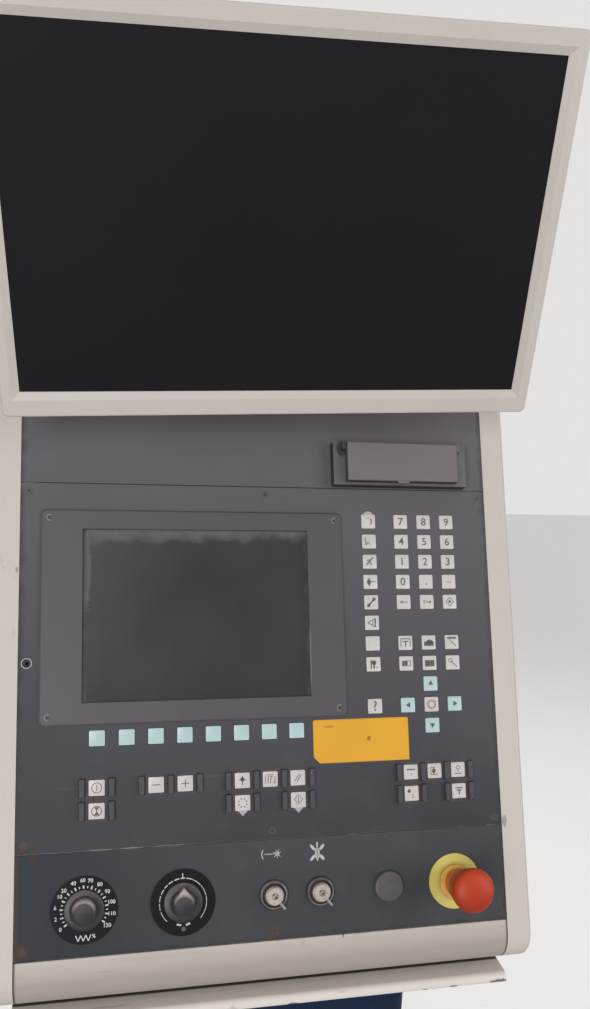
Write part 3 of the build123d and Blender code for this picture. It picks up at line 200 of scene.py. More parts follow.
# border: a ragged band inside the edges of a rectangle, such as dust that a cloth never reaches
border, value = effect(
    "border", ("Centre", (0.0, 0.0, 0.0)), ("Half", (0.1, 0.1, 9.0)), ("Width", 0.01), ("Ragged", 0.02)
)
offset = node(border, "VectorMath", value["Place"], value["Centre"], operation="SUBTRACT")
offset = node(border, "VectorMath", offset.outputs[0], operation="ABSOLUTE")
inside = node(border, "VectorMath", value["Half"], offset.outputs[0], operation="SUBTRACT")
inside = node(border, "SeparateXYZ", inside.outputs[0])
nearest = node(border, "Math", inside.outputs["X"], inside.outputs["Y"], operation="MINIMUM")
torn = node(border, "TexNoise", value["Place"], None, 55.0, 4.0)
torn = node(border, "Math", torn.outputs[0], 0.5, operation="SUBTRACT")
torn = node(border, "Math", torn.outputs[0], value["Ragged"], nearest.outputs[0], operation="MULTIPLY_ADD")
spread = node(border, "MapRange", torn.outputs[0], value["Width"], 0.0)
give_out(border, spread.outputs[0])

# rising: grows from one distance to another along a direction, which is up the piece's face at first
rising, value = effect("rising", ("Along", (0.0, 1.0, 0.0)), ("Start", 0.0), ("End", 1.0))
height = node(rising, "VectorMath", value["Place"], value["Along"], operation="DOT_PRODUCT")
spread = node(rising, "MapRange", height.outputs["Value"], value["Start"], value["End"])
give_out(rising, spread.outputs[0])


def layer(group, colour, strength, roughness, **settings):
    """Dirt, wear, painted light or painted shade: where an effect puts it, its colour, how strong it is, and
    its roughness.
    """
    return group, shade(*colour), strength, roughness, settings


def finish(
    name, colour, roughness, layers=(), grain=0.0009, bump=0.12, metallic=0.0, coat=0.0, shine=0.5, on=None
):
    """A surface finish: a colour, layers of dirt, wear and painted light and shade over it, and a grain felt
    as bump.
    """
    material = bpy.data.materials.new(name)
    material.use_nodes = True
    tree = material.node_tree
    shader = tree.nodes["Principled BSDF"]
    for socket, value in (
        ("Metallic", metallic), ("Specular IOR Level", shine), ("Coat Weight", coat),
        ("Coat Roughness", 0.12),
    ):
        shader.inputs[socket].default_value = value
    place = node(tree, "TexCoord").outputs["Object"]
    if on:
        place = node(tree, "Mapping", place, on[0], on[1], vector_type="TEXTURE").outputs[0]
    shown, rough = shade(*colour), roughness
    for group, layer_colour, strength, layer_roughness, settings in layers:
        mask = node(tree, "Group", node_tree=group)
        tree.links.new(place, mask.inputs["Place"])
        for setting, number in settings.items():
            mask.inputs[setting.capitalize()].default_value = number
        part = node(tree, "Math", mask.outputs[0], strength, operation="MULTIPLY")
        mix = node(tree, "Mix", part.outputs[0], data_type="RGBA")
        feed(tree, mix.inputs[7], layer_colour)
        blend = node(tree, "Mix", part.outputs[0], None, None, layer_roughness)
        feed(tree, mix.inputs[6], shown)
        feed(tree, blend.inputs[2], rough)
        shown, rough = mix.outputs[2], blend.outputs[0]
    feed(tree, shader.inputs["Base Color"], shown)
    feed(tree, shader.inputs["Roughness"], rough)
    felt = node(tree, "TexNoise", place, None, 1 / grain, 2.0)
    relief = node(tree, "Bump", bump, 0.0004)
    tree.links.new(felt.outputs[0], relief.inputs["Height"])
    tree.links.new(relief.outputs[0], shader.inputs["Normal"])
    return material


def dress(material, *node_names):
    """Gives CAD nodes their finish."""
    for node_name in node_names:
        for part_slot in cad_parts[node_name].material_slots:
            part_slot.material = material


blue_enamel = finish(
    "blue_enamel", (12, 33, 58), 0.42,
    [
        layer(blotches, (18, 40, 66), 0.7, 0.5, size=0.16),
        layer(scratches, (84, 96, 116), 0.4, 0.6, size=0.02, stretch=(8, 8, 0.6), low=0.68, high=0.72),
        layer(blotches, (78, 82, 86), 0.3, 0.8, size=0.05, low=0.64, high=0.78),
    ],
    shine=0.2,
)
zinc_plate = finish(
    "zinc_plate", (168, 166, 156), 0.36,
    [layer(blotches, (120, 116, 106), 0.6, 0.6, size=0.006, low=0.45, high=0.7)],
    metallic=0.85, grain=0.0005,
)
dress(blue_enamel, "foot_plate", "pedestal_column", "head_plate")
dress(zinc_plate, "frame_bolts", "cross_rails")

# Shelf: one folded sheet of steel with a rolled front edge, powder-coated cream. Knocks have chipped
# it along the roll, down to the dark steel at the operator's right. A dark band under the apron's edge
# is painted shadow.
shelf_right, shelf_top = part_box("shelf")[1].x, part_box("shelf")[1].z
shelf_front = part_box("shelf")[0].y
wiped_cream = [
    layer(blotches, (200, 190, 181), 0.6, 0.5, size=0.2, low=0.35),
    layer(scratches, (162, 152, 144), 0.4, 0.6, size=0.03, stretch=(0.5, 5, 5), low=0.66, high=0.72),
    layer(blotches, (150, 141, 133), 0.35, 0.7, size=0.02, low=0.69),
]
cream_coat = finish("cream_coat", (208, 200, 192), 0.42, wiped_cream, grain=0.0012)
shelf_coat = finish(
    "shelf_coat", (228, 220, 211), 0.42,
    wiped_cream[1:]
    + [
        layer(
            spot, (84, 74, 68), 0.85, 0.7, centre=(x, shelf_front + 0.001, shelf_top - low), radius=radius,
            squash=(1, 1, 3.5),
        )
        for x, low, radius in (
            (shelf_right - 0.008, 0.0085, 0.013), (shelf_right - 0.058, 0.008, 0.005),
            (shelf_right - 0.088, 0.0085, 0.004), (0.02, 0.0085, 0.006), (-0.06, 0.0085, 0.007),
            (-0.088, 0.008, 0.004),
        )
    ]
    + [
        # painted shadow: a dark band across the shelf's top under the apron's edge; the next ramp ends it
        layer(rising, (34, 30, 27), 0.95, 0.8, start=-0.1295, end=-0.1275),
        layer(rising, (206, 198, 190), 1.0, 0.45, start=-0.117, end=-0.111),
    ],
    grain=0.0012,
)
dress(shelf_coat, "shelf")

# Housing: two cheeks of moulded structural foam, with a folded steel shell and a rolled apron
# between them, all cream. The cheeks' inner edges are nicked and grey where hands rest.
face_foot = Vector((0, -0.150, 0.960))
face_turn = (math.radians(70), 0, 0)
on_face = (face_foot, face_turn)
foam_cream = finish(
    "foam_cream", (208, 200, 192), 0.5,
    [
        layer(blotches, (199, 190, 181), 0.6, 0.55, size=0.25, low=0.35),
        layer(scratches, (170, 161, 152), 0.3, 0.65, size=0.05, stretch=(6, 3, 0.7), low=0.68, high=0.76),
        layer(blotches, (140, 131, 122), 0.35, 0.7, size=0.008, low=0.72, high=0.76),
    ]
    + [
        layer(spot, (116, 108, 102), 0.6, 0.7, centre=centre, radius=radius, ragged=1, squash=(2.6, 1, 1))
        for centre, radius in (((0.2445, -0.118, 1.052), 0.0075), ((-0.2435, -0.03, 1.3), 0.005))
    ],
    grain=0.0014, bump=0.2,
)
apron_cream = finish(
    "apron_cream", (204, 195, 186), 0.42,
    wiped_cream
    + [
        # painted shade: darker towards the apron's lower edge, which turns away from the light above
        layer(rising, (164, 154, 146), 0.85, 0.6, start=0.004, end=-0.022),
        layer(rising, (60, 54, 50), 0.8, 0.8, along=(1, 0, 0), start=-0.2385, end=-0.2405),
        layer(rising, (60, 54, 50), 0.8, 0.8, along=(1, 0, 0), start=0.2385, end=0.2405),
        layer(spot, (70, 62, 58), 0.9, 0.7, centre=(0.068, 0, 0), radius=0.005, ragged=0.3, squash=(6, 1, 1)),
        layer(spot, (150, 141, 133), 0.15, 0.6, centre=(-0.11, -0.005, 0), radius=0.05, squash=(1, 14, 1)),
    ],
    grain=0.0012, on=on_face,
)
dress(foam_cream, "left_cheek", "right_cheek")
dress(cream_coat, "housing_shell")
dress(apron_cream, "front_apron")

# Face plates: 3 mm steel, painted a satin dark grey, warmer and paler towards the top, where part of
# the paleness is painted light against the monitor's shadow. The joints are rubbed bright, and the
# lowest screws have rusted.
millimetres = Matrix.Scale(0.001, 4)
face_to_frame = Matrix.Translation(face_foot) @ Euler(face_turn).to_matrix().to_4x4() @ millimetres
joint_low, joint_width = 0.0942, 0.0009
plate_layers = [
    # paler towards the top, partly painted light; the second ramp, under the monitor, is all painted light
    layer(rising, (95, 91, 96), 1.0, 0.5, start=0.05, end=0.4),
    layer(rising, (106, 101, 107), 0.6, 0.5, start=0.43, end=0.47),
    layer(blotches, (86, 84, 88), 0.35, 0.6, size=0.12, low=0.35, high=0.8),
    layer(blotches, (96, 92, 95), 0.2, 0.65, size=0.03, low=0.55, high=0.85),
    layer(scratches, (112, 108, 110), 0.18, 0.6, size=0.03, stretch=(0.35, 6, 1), low=0.7, high=0.75),
    layer(
        border, (48, 44, 43), 0.6, 0.7, centre=(0, 0.277, 0), half=(0.2415, 0.2785, 9), width=0.006,
        ragged=0.014,
    ),
]
joint_rubs = [
    layer(
        spot, (186, 184, 182), strength, 0.5, centre=(x, joint_low, 0), radius=reach,
        squash=(1, reach / joint_width, 1),
    )
    for x, reach, strength in (
        (-0.165, 0.016, 0.4), (-0.135, 0.012, 0.5), (-0.1, 0.018, 0.3), (0.08, 0.01, 0.35), (0.2, 0.014, 0.3),
    )
]
# painted highlight: the tops of the guard ribs are paler
rib_top_highlight = layer(rising, (94, 90, 92), 0.35, 0.55, along=(0, 0, 1), start=0.0006, end=0.0016)
rust_spots = [
    layer(spot, (84, 62, 54), strength, 0.8, centre=(x, v, 0), radius=radius)
    for x, v, radius, strength in (
        (-0.2335, 0.008, 0.0085, 0.55), (0.0, 0.008, 0.007, 0.5), (0.2335, 0.008, 0.007, 0.25),
        (-0.2345, 0.1, 0.007, 0.5), (-0.225, 0.0915, 0.0065, 0.35),
    )
]
plate_grey = finish(
    "plate_grey", (38, 42, 48), 0.46,
    [
        *plate_layers,
        layer(rising, (42, 47, 52), 0.65, 0.5, along=(-0.9, -0.44, 0), start=0.03, end=0.16),
        *joint_rubs[:3],
        rib_top_highlight,
        rust_spots[3],
    ],
    shine=0.3, on=on_face,
)
switch_plate_grey = finish(
    "switch_plate_grey", (56, 59, 63), 0.46,
    [
        *plate_layers,
        layer(rising, (26, 33, 41), 0.9, 0.5, along=(-1, 0, 0), start=0.04, end=0.2),
        layer(rising, (82, 64, 56), 0.6, 0.7, along=(-1, 0, 0), start=0.2365, end=0.24),
        *joint_rubs,
        *rust_spots,
    ],
    shine=0.3, on=on_face,
)
dress(plate_grey, "drive_plate", "operator_panel")
dress(switch_plate_grey, "switch_panel")

# Screen: a bevelled frame of painted steel over the cut-out, a pane behind it and the sealed display
# unit. Nobody wipes the pane's edges, so pale dust has dried on them. A thin pale line runs down part
# of the frame's edge at the window's right side.
frame_grey = finish(
    "frame_grey", (84, 81, 85), 0.42,
    [
        *plate_layers[2:5],
        layer(rising, (92, 90, 93), 0.5, 0.5, along=(-1, 0, 0), start=0.06, end=0.2),
        layer(spot, (176, 172, 168), 0.5, 0.4, centre=(0.0425, 0.27, 0), radius=0.035, squash=(60, 1, 1)),
    ],
    shine=0.35, on=on_face,
)
dusty_pane = finish(
    "dusty_pane", (42, 37, 43), 0.16,
    [
        layer(blotches, (60, 54, 61), 0.8, 0.3, size=0.11, low=0.3, high=0.9),
        layer(scratches, (72, 66, 72), 0.12, 0.4, size=0.02, stretch=(6, 0.7, 1), low=0.62, high=0.8),
        layer(rising, (80, 76, 84), 0.45, 0.5, along=(-0.8, 0.6, 0), start=0.28, end=0.4),
        layer(spot, (92, 94, 104), 0.6, 0.5, centre=(-0.18, 0.362, 0), radius=0.045, squash=(7, 1, 0)),
        layer(
            border, (106, 99, 107), 0.85, 0.6, centre=(-0.07, 0.25, 0), half=(0.3, 0.151, 9), width=0.013,
            ragged=0.024,
        ),
        layer(
            border, (104, 98, 103), 0.4, 0.7, centre=(-0.07, 0.25, 0), half=(0.1125, 0.151, 9), width=0.004,
            ragged=0.01,
        ),
        layer(blotches, (118, 113, 117), 0.4, 0.7, size=0.0016, low=0.75, high=0.79),
    ],
    bump=0.03, on=on_face,
)
black_shell = finish(
    "black_shell", (34, 34, 36), 0.5, [layer(blotches, (52, 52, 54), 0.5, 0.6, size=0.05, high=0.7)]
)
dress(frame_grey, "screen_frame")
dress(dusty_pane, "screen_window")
dress(black_shell, "display_unit", "contact_blocks")

# Keys: square caps of moulded plastic over switches on one board, off-white or mint, most with a
# printed legend. They have yellowed in patches, and the white ones are grey with finger dirt.
key_side, key_corner, key_edge, key_proud, key_skirt = 15.0, 1.0, 0.5, 1.0, 5.0
print_height, ink_sunk = 0.1, 0.03
number_column, number_pitch = 144.7, 25.6
soft_column, soft_pitch = -167.9, 27.8
function_column = 109.3
top_row, row_pitch, machine_drop = 412.0, 21.4, 46.3
columns = [number_column + i * number_pitch for i in range(3)]
soft = [soft_column + i * soft_pitch for i in range(8)]
rows = [top_row - i * row_pitch for i in range(11)]
machine_rows = [rows[10] - machine_drop, rows[10] - machine_drop - row_pitch]


def put(bm, shape, at=(0, 0, 0), ink=0):
    """Adds one closed shape to a piece, in one of the piece's finishes."""
    bmesh.ops.recalc_face_normals(shape, faces=shape.faces)
    bmesh.ops.translate(shape, vec=at, verts=shape.verts)
    for face in shape.faces:
        face.material_index = ink
    carried = bpy.data.meshes.new("carried")
    shape.to_mesh(carried)
    shape.free()
    bm.from_mesh(carried)
    bpy.data.meshes.remove(carried)


def block(x0, v0, w0, x1, v1, w1):
    """A box between two corners."""
    shape = bmesh.new()
    middle = Matrix.Translation(((x0 + x1) / 2, (v0 + v1) / 2, (w0 + w1) / 2))
    bmesh.ops.create_cube(shape, size=1, matrix=middle @ Matrix.Diagonal((x1 - x0, v1 - v0, w1 - w0, 1)))
    return shape


def stroke(x0, v0, x1, v1, width, height=print_height):
    """A straight printed stroke."""
    run = Vector((x1 - x0, v1 - v0))
    shape = block(-run.length / 2, -width / 2, 0, run.length / 2, width / 2, height)
    turn = Matrix.Rotation(math.atan2(run.y, run.x), 4, "Z")
    place = Matrix.Translation(((x0 + x1) / 2, (v0 + v1) / 2, 0))
    bmesh.ops.transform(shape, matrix=place @ turn, verts=shape.verts)
    return shape


def dot(x, v, radius, sides=24, turn=0, stretch=1.0, height=print_height):
    """A filled circle, or a triangle or diamond if it has 3 or 4 sides."""
    shape = bmesh.new()
    place = Matrix.Translation((x, v, height / 2)) @ Matrix.Rotation(math.radians(turn), 4, "Z")
    bmesh.ops.create_cone(
        shape, cap_ends=True, segments=sides, radius1=radius, radius2=radius, depth=height,
        matrix=place @ Matrix.Diagonal((1, stretch, 1, 1)),
    )
    return shape


def ring(x, v, radius, width, start=0, sweep=360, steps=32, height=print_height):
    """A printed ring, or part of one: a small rectangle spun round its middle."""
    shape = bmesh.new()
    place = Matrix.Translation((x, v, 0)) @ Matrix.Rotation(math.radians(start), 4, "Z")
    place = place @ Matrix.Translation((radius, 0, height / 2)) @ Matrix.Rotation(math.pi / 2, 4, "X")
    bmesh.ops.create_grid(
        shape, x_segments=1, y_segments=1, size=0.5, matrix=place @ Matrix.Diagonal((width, height, 1, 1))
    )
    whole = sweep == 360
    if whole:
        bmesh.ops.delete(shape, geom=shape.faces[:], context="FACES_ONLY")
    bmesh.ops.spin(
        shape, geom=shape.verts[:] + shape.edges[:] + shape.faces[:], cent=(x, v, 0), axis=(0, 0, 1),
        angle=math.radians(sweep), steps=steps, use_merge=whole,
    )
    return shape


def figures(text, x, v, size):
    """Plain figures in Blender's own typeface."""
    curve = bpy.data.curves.new("figures", "FONT")
    curve.body, curve.size, curve.extrude, curve.resolution_u = text, size, print_height / 2, 3
    curve.align_x, curve.align_y, curve.offset = "CENTER", "CENTER", 0.1
    setting = bpy.data.objects.new("figures", curve)
    flat = bpy.data.meshes.new_from_object(setting)
    shape = bmesh.new()
    shape.from_mesh(flat)
    bmesh.ops.remove_doubles(shape, verts=shape.verts, dist=0.001)
    bmesh.ops.translate(shape, vec=(x, v, print_height / 2), verts=shape.verts)
    bpy.data.objects.remove(setting)
    bpy.data.curves.remove(curve)
    bpy.data.meshes.remove(flat)
    return shape


def print_on(bm, marks, at=(0, 0, 0), ink=1):
    """Prints a list of marks on a piece at one place."""
    for shape, *sizes in marks:
        put(bm, shape(*sizes), at, ink)


def upright(shape):
    """The edges that run from a plate's back to its front."""
    return [e for e in shape.edges if abs(e.verts[0].co.z - e.verts[1].co.z) > 0.1]


def front_edges(shape):
    """The edges round a shape's front face."""
    return max(shape.faces, key=lambda f: f.calc_center_median().z).edges[:]


def soften(shape, edges, offset, segments):
    """Rounds edges off, or with one segment cuts them at a slant."""
    bmesh.ops.bevel(
        shape, geom=edges, offset=offset, segments=segments, profile=0.5, affect="EDGES", material=-1
    )


lip, lip_back, lip_front = 8.7, -4.1, -3.3
stem_radius, stem_length, stem_foot = 2.5, 4.6, -9.5


def key_cap(bm, x, v, marks=(), moving=False):
    """One cap with round corners and a soft edge, its legend, and a moving key's lip and stem."""
    cap = block(-key_side / 2, -key_side / 2, -key_skirt, key_side / 2, key_side / 2, key_proud)
    soften(cap, upright(cap), key_corner, 3)
    soften(cap, front_edges(cap), key_edge, 2)
    put(bm, cap, (x, v, 0))
    if moving:
        put(bm, block(-lip, -lip, lip_back, lip, lip, lip_front), (x, v, 0))
        put(bm, dot(0, 0, stem_radius, height=stem_length), (x, v, stem_foot))
    print_on(bm, marks, (x, v, key_proud - ink_sunk))


cap_white = finish(
    "cap_white", (214, 207, 206), 0.36,
    [
        layer(blotches, (202, 194, 188), 0.8, 0.5, size=0.03, low=0.35),
        layer(blotches, (158, 150, 146), 0.3, 0.6, size=0.004, low=0.6),
    ],
    bump=0.05, coat=0.15, on=on_face,
)
cap_mint = finish(
    "cap_mint", (187, 213, 213), 0.36,
    [layer(blotches, (178, 202, 202), 0.8, 0.5, size=0.03, low=0.35)],
    bump=0.05, coat=0.15, on=on_face,
)
legend_ink = finish(
    "legend_ink", (84, 78, 82), 0.5,
    [layer(blotches, (132, 126, 126), 0.6, 0.6, size=0.003, low=0.45, high=0.8)],
    bump=0.02, on=on_face,
)
board_green = finish(
    "board_green", (34, 74, 52), 0.4,
    [layer(blotches, (60, 92, 62), 0.5, 0.5, size=0.004, high=0.7)],
    on=on_face,
)

cross = [(stroke, -3.9, 0, 3.9, 0, 0.8), (stroke, 0, -3.9, 0, 3.9, 0.8)]
function_marks = {
    0: [(ring, -2, 0, 5.2, 1.2, -38, 76, 10), (stroke, -3.4, 3.4, 1.2, 3.8, 0.5)],
    1: [
        (stroke, -4.2, 4.2, -3.4, -3.8, 1.0), (stroke, -3.4, -3.8, -0.6, -0.8, 0.9),
        (stroke, -0.6, -0.8, 1.2, -3.6, 0.8),
    ],
    2: [
        (stroke, -3.6, -3.4, 1.5, 2.4, 1.4), (stroke, 1.2, 2.2, 4, 4.4, 1.0),
        (stroke, 0, 0, 2, -3.6, 1.0), (stroke, -3.4, 1, 0.4, 2, 0.8),
    ],
    3: [(dot, -1.6, 0, 2.6, 4, 0, 1.8), (stroke, 1.6, 0.2, 4.8, 0.2, 0.9)],
    4: [(stroke, -2.6, -3, 2.6, 2.6, 1.5), (dot, -3, -3.4, 1.8), (dot, 3.1, 3.1, 1.8)],
    5: [
        (stroke, -4.6, 0, 3.6, 4.4, 0.8), (stroke, -4.6, 0, 3.6, -4.6, 0.8),
        (stroke, 3.4, 4.4, 3.4, -4.6, 1.4), (stroke, 0.6, 2.4, 0.6, -2.4, 0.6),
    ],
    6: [],
    7: [
        (stroke, -2.6, -4.8, -2.6, 4.6, 1.3), (dot, 0.4, 1.6, 2.4),
        (stroke, 0.4, 1.2, 0.4, -4.6, 1.6), (stroke, 3, -3.6, 4.6, -3.6, 0.8),
    ],
    9: [(figures, "?", 0, -0.3, 14)],
}
number_marks = [[(figures, figure, 0, -0.2, 11.5)] for figure in "7894561230"]
number_marks += [
    [(dot, 0.2, -2.6, 0.8)],
    [(stroke, -2.4, -0.4, 2.6, -0.4, 0.7)],
    [(stroke, -1.2, 0, 4.2, 0, 0.8), (dot, -2.4, 0, 1.9, 3, 90)],
    [(stroke, -4, v, -1.6, v, 0.6) for v in (-1.4, 0, 1.4)]
    + [(stroke, 0, 0.8, 1.6, -1.2, 0.8), (dot, 3.6, -0.2, 1.3)],
    [(ring, 0, 0, 4.4, 0.9, 0, 360, 4), (dot, 0, 0, 2.0, 4)],
]
block_marks = [
    [
        (stroke, -5, 4.2, 5, 4.2, 1.0), (stroke, -5, 4.2, -5, -4.2, 0.8), (stroke, 5, 4.2, 5, -4.2, 0.8),
        (stroke, 0, 1.6, 0, -4.2, 1.2), (stroke, -3, 1.4, 3, 1.4, 1.0),
    ],
    [(stroke, -5.2, -1.4, 5.2, -1.4, 4.6, 0.06), (dot, 0.8, 0.6, 3.4, 24, 0, 0.7, 0.06)],
    [(stroke, -5, 4.4, 5, 4.4, 1.8), (stroke, -2.6, 3, 4.4, -4.4, 0.9)],
    [
        (stroke, -4.6, 0, 1.4, 0, 5.6), (stroke, 1.8, 2.6, 4.6, 2.6, 0.7),
        (stroke, 1.8, -2.6, 4.6, -2.6, 0.7), (stroke, 4.6, 2.6, 4.6, -2.6, 0.7),
    ],
    [(stroke, -5.2, -0.4, 5.2, -0.4, 6.6, 0.06)],
    [(stroke, -1.6, 1, 4.6, -4.8, 0.9), (ring, -2.6, 2.2, 1.9, 0.7)],
]
white_caps = bmesh.new()
for row, marks in function_marks.items():
    key_cap(white_caps, function_column, rows[row], marks)
for i, marks in enumerate(number_marks):
    key_cap(white_caps, columns[i % 3], rows[i // 3], marks)
for i, marks in enumerate(block_marks):
    key_cap(white_caps, columns[i % 3], rows[6 + i // 3], marks)
key_cap(white_caps, columns[1], rows[9], [(ring, 0, 0, 4.4, 0.7), (ring, 0, 0, 3.1, 0.5)])
mint_caps = bmesh.new()
for x in soft:
    key_cap(mint_caps, x, rows[10])
fixed_white_caps = piece("fixed_white_caps", white_caps, face_to_frame, cap_white, legend_ink)
fixed_mint_caps = piece("fixed_mint_caps", mint_caps, face_to_frame, cap_mint)

moving_keys = {
    "arrow_up_key": (columns[1], rows[8], [(dot, 0, 0.2, 3.2, 3, 0)]),
    "arrow_left_key": (columns[0], rows[9], [(dot, 0.6, 0, 3.2, 3, 90)]),
    "arrow_right_key": (columns[2], rows[9], [(dot, -0.2, 0, 3.2, 3, -90)]),
    "arrow_down_key": (columns[1], rows[10], [(dot, 0, 0.2, 3.2, 3, 180)]),
    "power_on_key": (soft[0], machine_rows[0], [(ring, 0, 0, 4.6, 0.7), (stroke, 0, -2.6, 0, 2.6, 0.8)]),
    "power_off_key": (
        soft[0], machine_rows[1],
        [(ring, 0, 0, 4.5, 0.8), (dot, 0, 2.3, 2.7, 3, 180), (dot, 0, -2.3, 2.7, 3, 0)],
    ),
    "minus_key": (soft[2], machine_rows[0], cross[:1]),
    "plus_key": (soft[3], machine_rows[0], cross),
    "feed_key": (
        soft[5], machine_rows[0],
        [(dot, 0, 1.2, 2.4, 4, 0, 1.3), (stroke, 0, -4.2, 0, 4.2, 0.9), (stroke, -3.8, 0.4, 3.8, 0.4, 0.6)],
    ),
    "mode_key": (
        soft[6], machine_rows[0],
        [
            (stroke, -5, -4, -5, 4, 0.6), (stroke, -3.4, 4.2, 3.4, 4.2, 0.6),
            (stroke, -2.2, -4, -2.2, 3.2, 0.8), (stroke, -0.8, 2.6, 2, 2.6, 0.7),
            (stroke, 2, 2.6, 0.4, -0.4, 0.7), (stroke, 0.2, -4, 0.2, 0.4, 0.7),
            (stroke, 4.6, -4, 4.6, 2.6, 0.8), (stroke, 2.6, -3.8, 4.6, -3.8, 0.7),
        ],
    ),
    "reset_key": (
        soft[7], machine_rows[0],
        [(stroke, -3.4, -3.2, 1.6, 3.6, 0.7), (stroke, -1.2, -3.8, 3.6, 3, 0.7)],
    ),
    "hold_key": (
        soft[5], machine_rows[1],
        [(stroke, s * 1.6 - 0.8, e, s * 1.6 + 0.8, e, 1.0) for s in (-1, 1) for e in (-3.8, 3.8)]
        + [(stroke, e, s * 1.6 - 0.8, e, s * 1.6 + 0.8, 1.0) for s in (-1, 1) for e in (-3.8, 3.8)],
    ),
    "start_key": (
        soft[7], machine_rows[1],
        [(ring, 0, 0.6, 4.4, 0.8, 0, 360, 4), (stroke, 0, -2.2, 0, 3.4, 0.7)],
    ),
    "laser_key": (
        columns[0], machine_rows[0],
        [(stroke, -4.4, 2.4, 4.4, 2.4, 1.3), (stroke, 0.4, -3.6, 0, -1.6, 0.8)],
    ),
    "shutter_key": (
        columns[1], machine_rows[0],
        [
            (stroke, -4.2, 3.4, -4.2, -3.6, 0.7), (stroke, -4.2, -3.6, 2.6, -3.6, 0.7),
            (stroke, -4.2, 3.4, 0.4, 3.4, 0.7), (dot, -1.0, 0, 2.3, 4, 0, 1.5),
        ],
    ),
    "beam_key": (
        columns[2], machine_rows[0],
        [(stroke, -3.8, -3.8, 3.8, -3.8, 0.8), (ring, 0, 2.2, 1.8, 0.6), (stroke, -0.2, 0, -0.2, -2.2, 0.8)],
    ),
    "gas_key": (
        columns[0], machine_rows[1],
        [(dot, -2.8, 2.4, 1.8), (ring, -0.6, -2.4, 2.0, 0.7, -80, 130, 10)],
    ),
    "lamp_key": (
        columns[2], machine_rows[1],
        [(stroke, -4, 3, 4, 3, 1.2), (stroke, -2.6, 0.8, 2.6, 0.8, 1.2), (stroke, 0, 0.4, 0, -3.6, 1.4)],
    ),
}
for name, (x, v, marks) in moving_keys.items():
    cap = bmesh.new()
    key_cap(cap, x, v, marks, moving=True)
    mint = name.startswith("arrow")
    cap_finish = cap_mint if mint else cap_white
    moving_cap = piece(name.replace("_key", "_cap"), cap, face_to_frame, cap_finish, legend_ink)
    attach(moving_cap, name)
    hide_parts(name)

board_back, board_front, switch_foot = -13.0, -11.4, -11.5
switch_half, switch_front, well_front, well_half, wall_half = 6, -4.9, -7, 2.8, 1.6
wall_middle = 4.4
board = bmesh.new()
for x0, v0, x1, v1 in ((-185.9, 113.3, 213.9, 212.0), (88.3, 212.0, 213.9, 425.0)):
    put(board, block(x0, v0, board_back, x1, v1, board_front))


def switch(x, v, half_width, half_height, front):
    """A block on the key board: a whole switch, or one wall of a switch that a stem goes into."""
    corner, far_corner = (x - half_width, v - half_height), (x + half_width, v + half_height)
    put(board, block(*corner, switch_foot, *far_corner, front), ink=1)


fixed_places = [(function_column, rows[row]) for row in function_marks]
fixed_places += [(x, rows[i]) for i in (0, 1, 2, 3, 4, 6, 7) for x in columns]
fixed_places += [(columns[1], rows[9])] + [(x, rows[10]) for x in soft]
for x, v in fixed_places:
    switch(x, v, switch_half, switch_half, switch_front)
for x, v, marks in moving_keys.values():
    for side in (-wall_middle, wall_middle):
        switch(x + side, v, wall_half, switch_half, well_front)
        switch(x, v + side, well_half, wall_half, well_front)
key_circuit_board = piece("key_circuit_board", board, face_to_frame, board_green, black_shell)
for part in (fixed_white_caps, fixed_mint_caps, key_circuit_board):
    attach(part, "console")
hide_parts("key_board")

# Gaskets and film: soft grey gaskets lie round the machine keys, between the guard ribs. The
# operators have stuck on a blank yellow label and a few scraps of white film.
gasket_size, gasket_width, gasket_proud = Matrix.Diagonal((20.6, 20.6, 1, 1)), 2.4, 0.25
gaskets = bmesh.new()
for name, (x, v, marks) in moving_keys.items():
    if name.startswith("arrow"):
        continue
    rim = bmesh.new()
    bmesh.ops.create_grid(rim, x_segments=1, y_segments=1, size=0.5, matrix=gasket_size)
    inner = rim.faces[:]
    bmesh.ops.inset_region(rim, faces=inner, thickness=gasket_width, use_boundary=True, use_even_offset=True)
    bmesh.ops.delete(rim, geom=inner, context="FACES_ONLY")
    raised = bmesh.ops.extrude_face_region(rim, geom=rim.faces[:])["geom"]
    raised = [g for g in raised if isinstance(g, bmesh.types.BMVert)]
    bmesh.ops.translate(rim, vec=(0, 0, gasket_proud), verts=raised)
    put(gaskets, rim, (x, v, 0))
gasket_rubber = finish(
    "gasket_rubber", (66, 61, 62), 0.7,
    [layer(blotches, (88, 80, 78), 0.7, 0.8, size=0.01, low=0.45, high=0.7)],
    on=on_face,
)
key_gaskets = piece("key_gaskets", gaskets, face_to_frame, gasket_rubber)

label_left, label_right, label_foot, label_head, label_thick = 43.5, 144.0, 164.3, 207.5, 0.35
label_clip, label_round = 6.5, 2.5
label = block(label_left, label_foot, 0, label_right, label_head, label_thick)
left = [e for e in upright(label) if e.verts[0].co.x < label_left + 1]
soften(label, [e for e in left if e.verts[0].co.y < label_foot + 1], label_clip, 1)
soften(label, [e for e in upright(label) if e.verts[0].co.y > label_head - 1], label_round, 4)
label_yellow = finish(
    "label_yellow", (233, 170, 36), 0.46,
    [
        layer(blotches, (224, 160, 40), 0.6, 0.5, size=0.05, low=0.35, high=0.8),
        layer(spot, (140, 98, 30), 0.8, 0.6, centre=(0.1015, 0.1875, 0), radius=0.0024),
        layer(
            spot, (150, 112, 44), 0.6, 0.6, centre=(0.0605, 0.2005, 0), radius=0.0065, ragged=0.8,
            squash=(1, 5, 1),
        ),
        layer(
            border, (196, 138, 44), 0.7, 0.6, centre=(0.09375, 0.1859, 0), half=(0.05025, 0.0216, 9),
            width=0.0012, ragged=0.002,
        ),
    ],
    bump=0.03, on=on_face,
)
yellow_label = piece("yellow_label", label, face_to_frame, label_yellow)

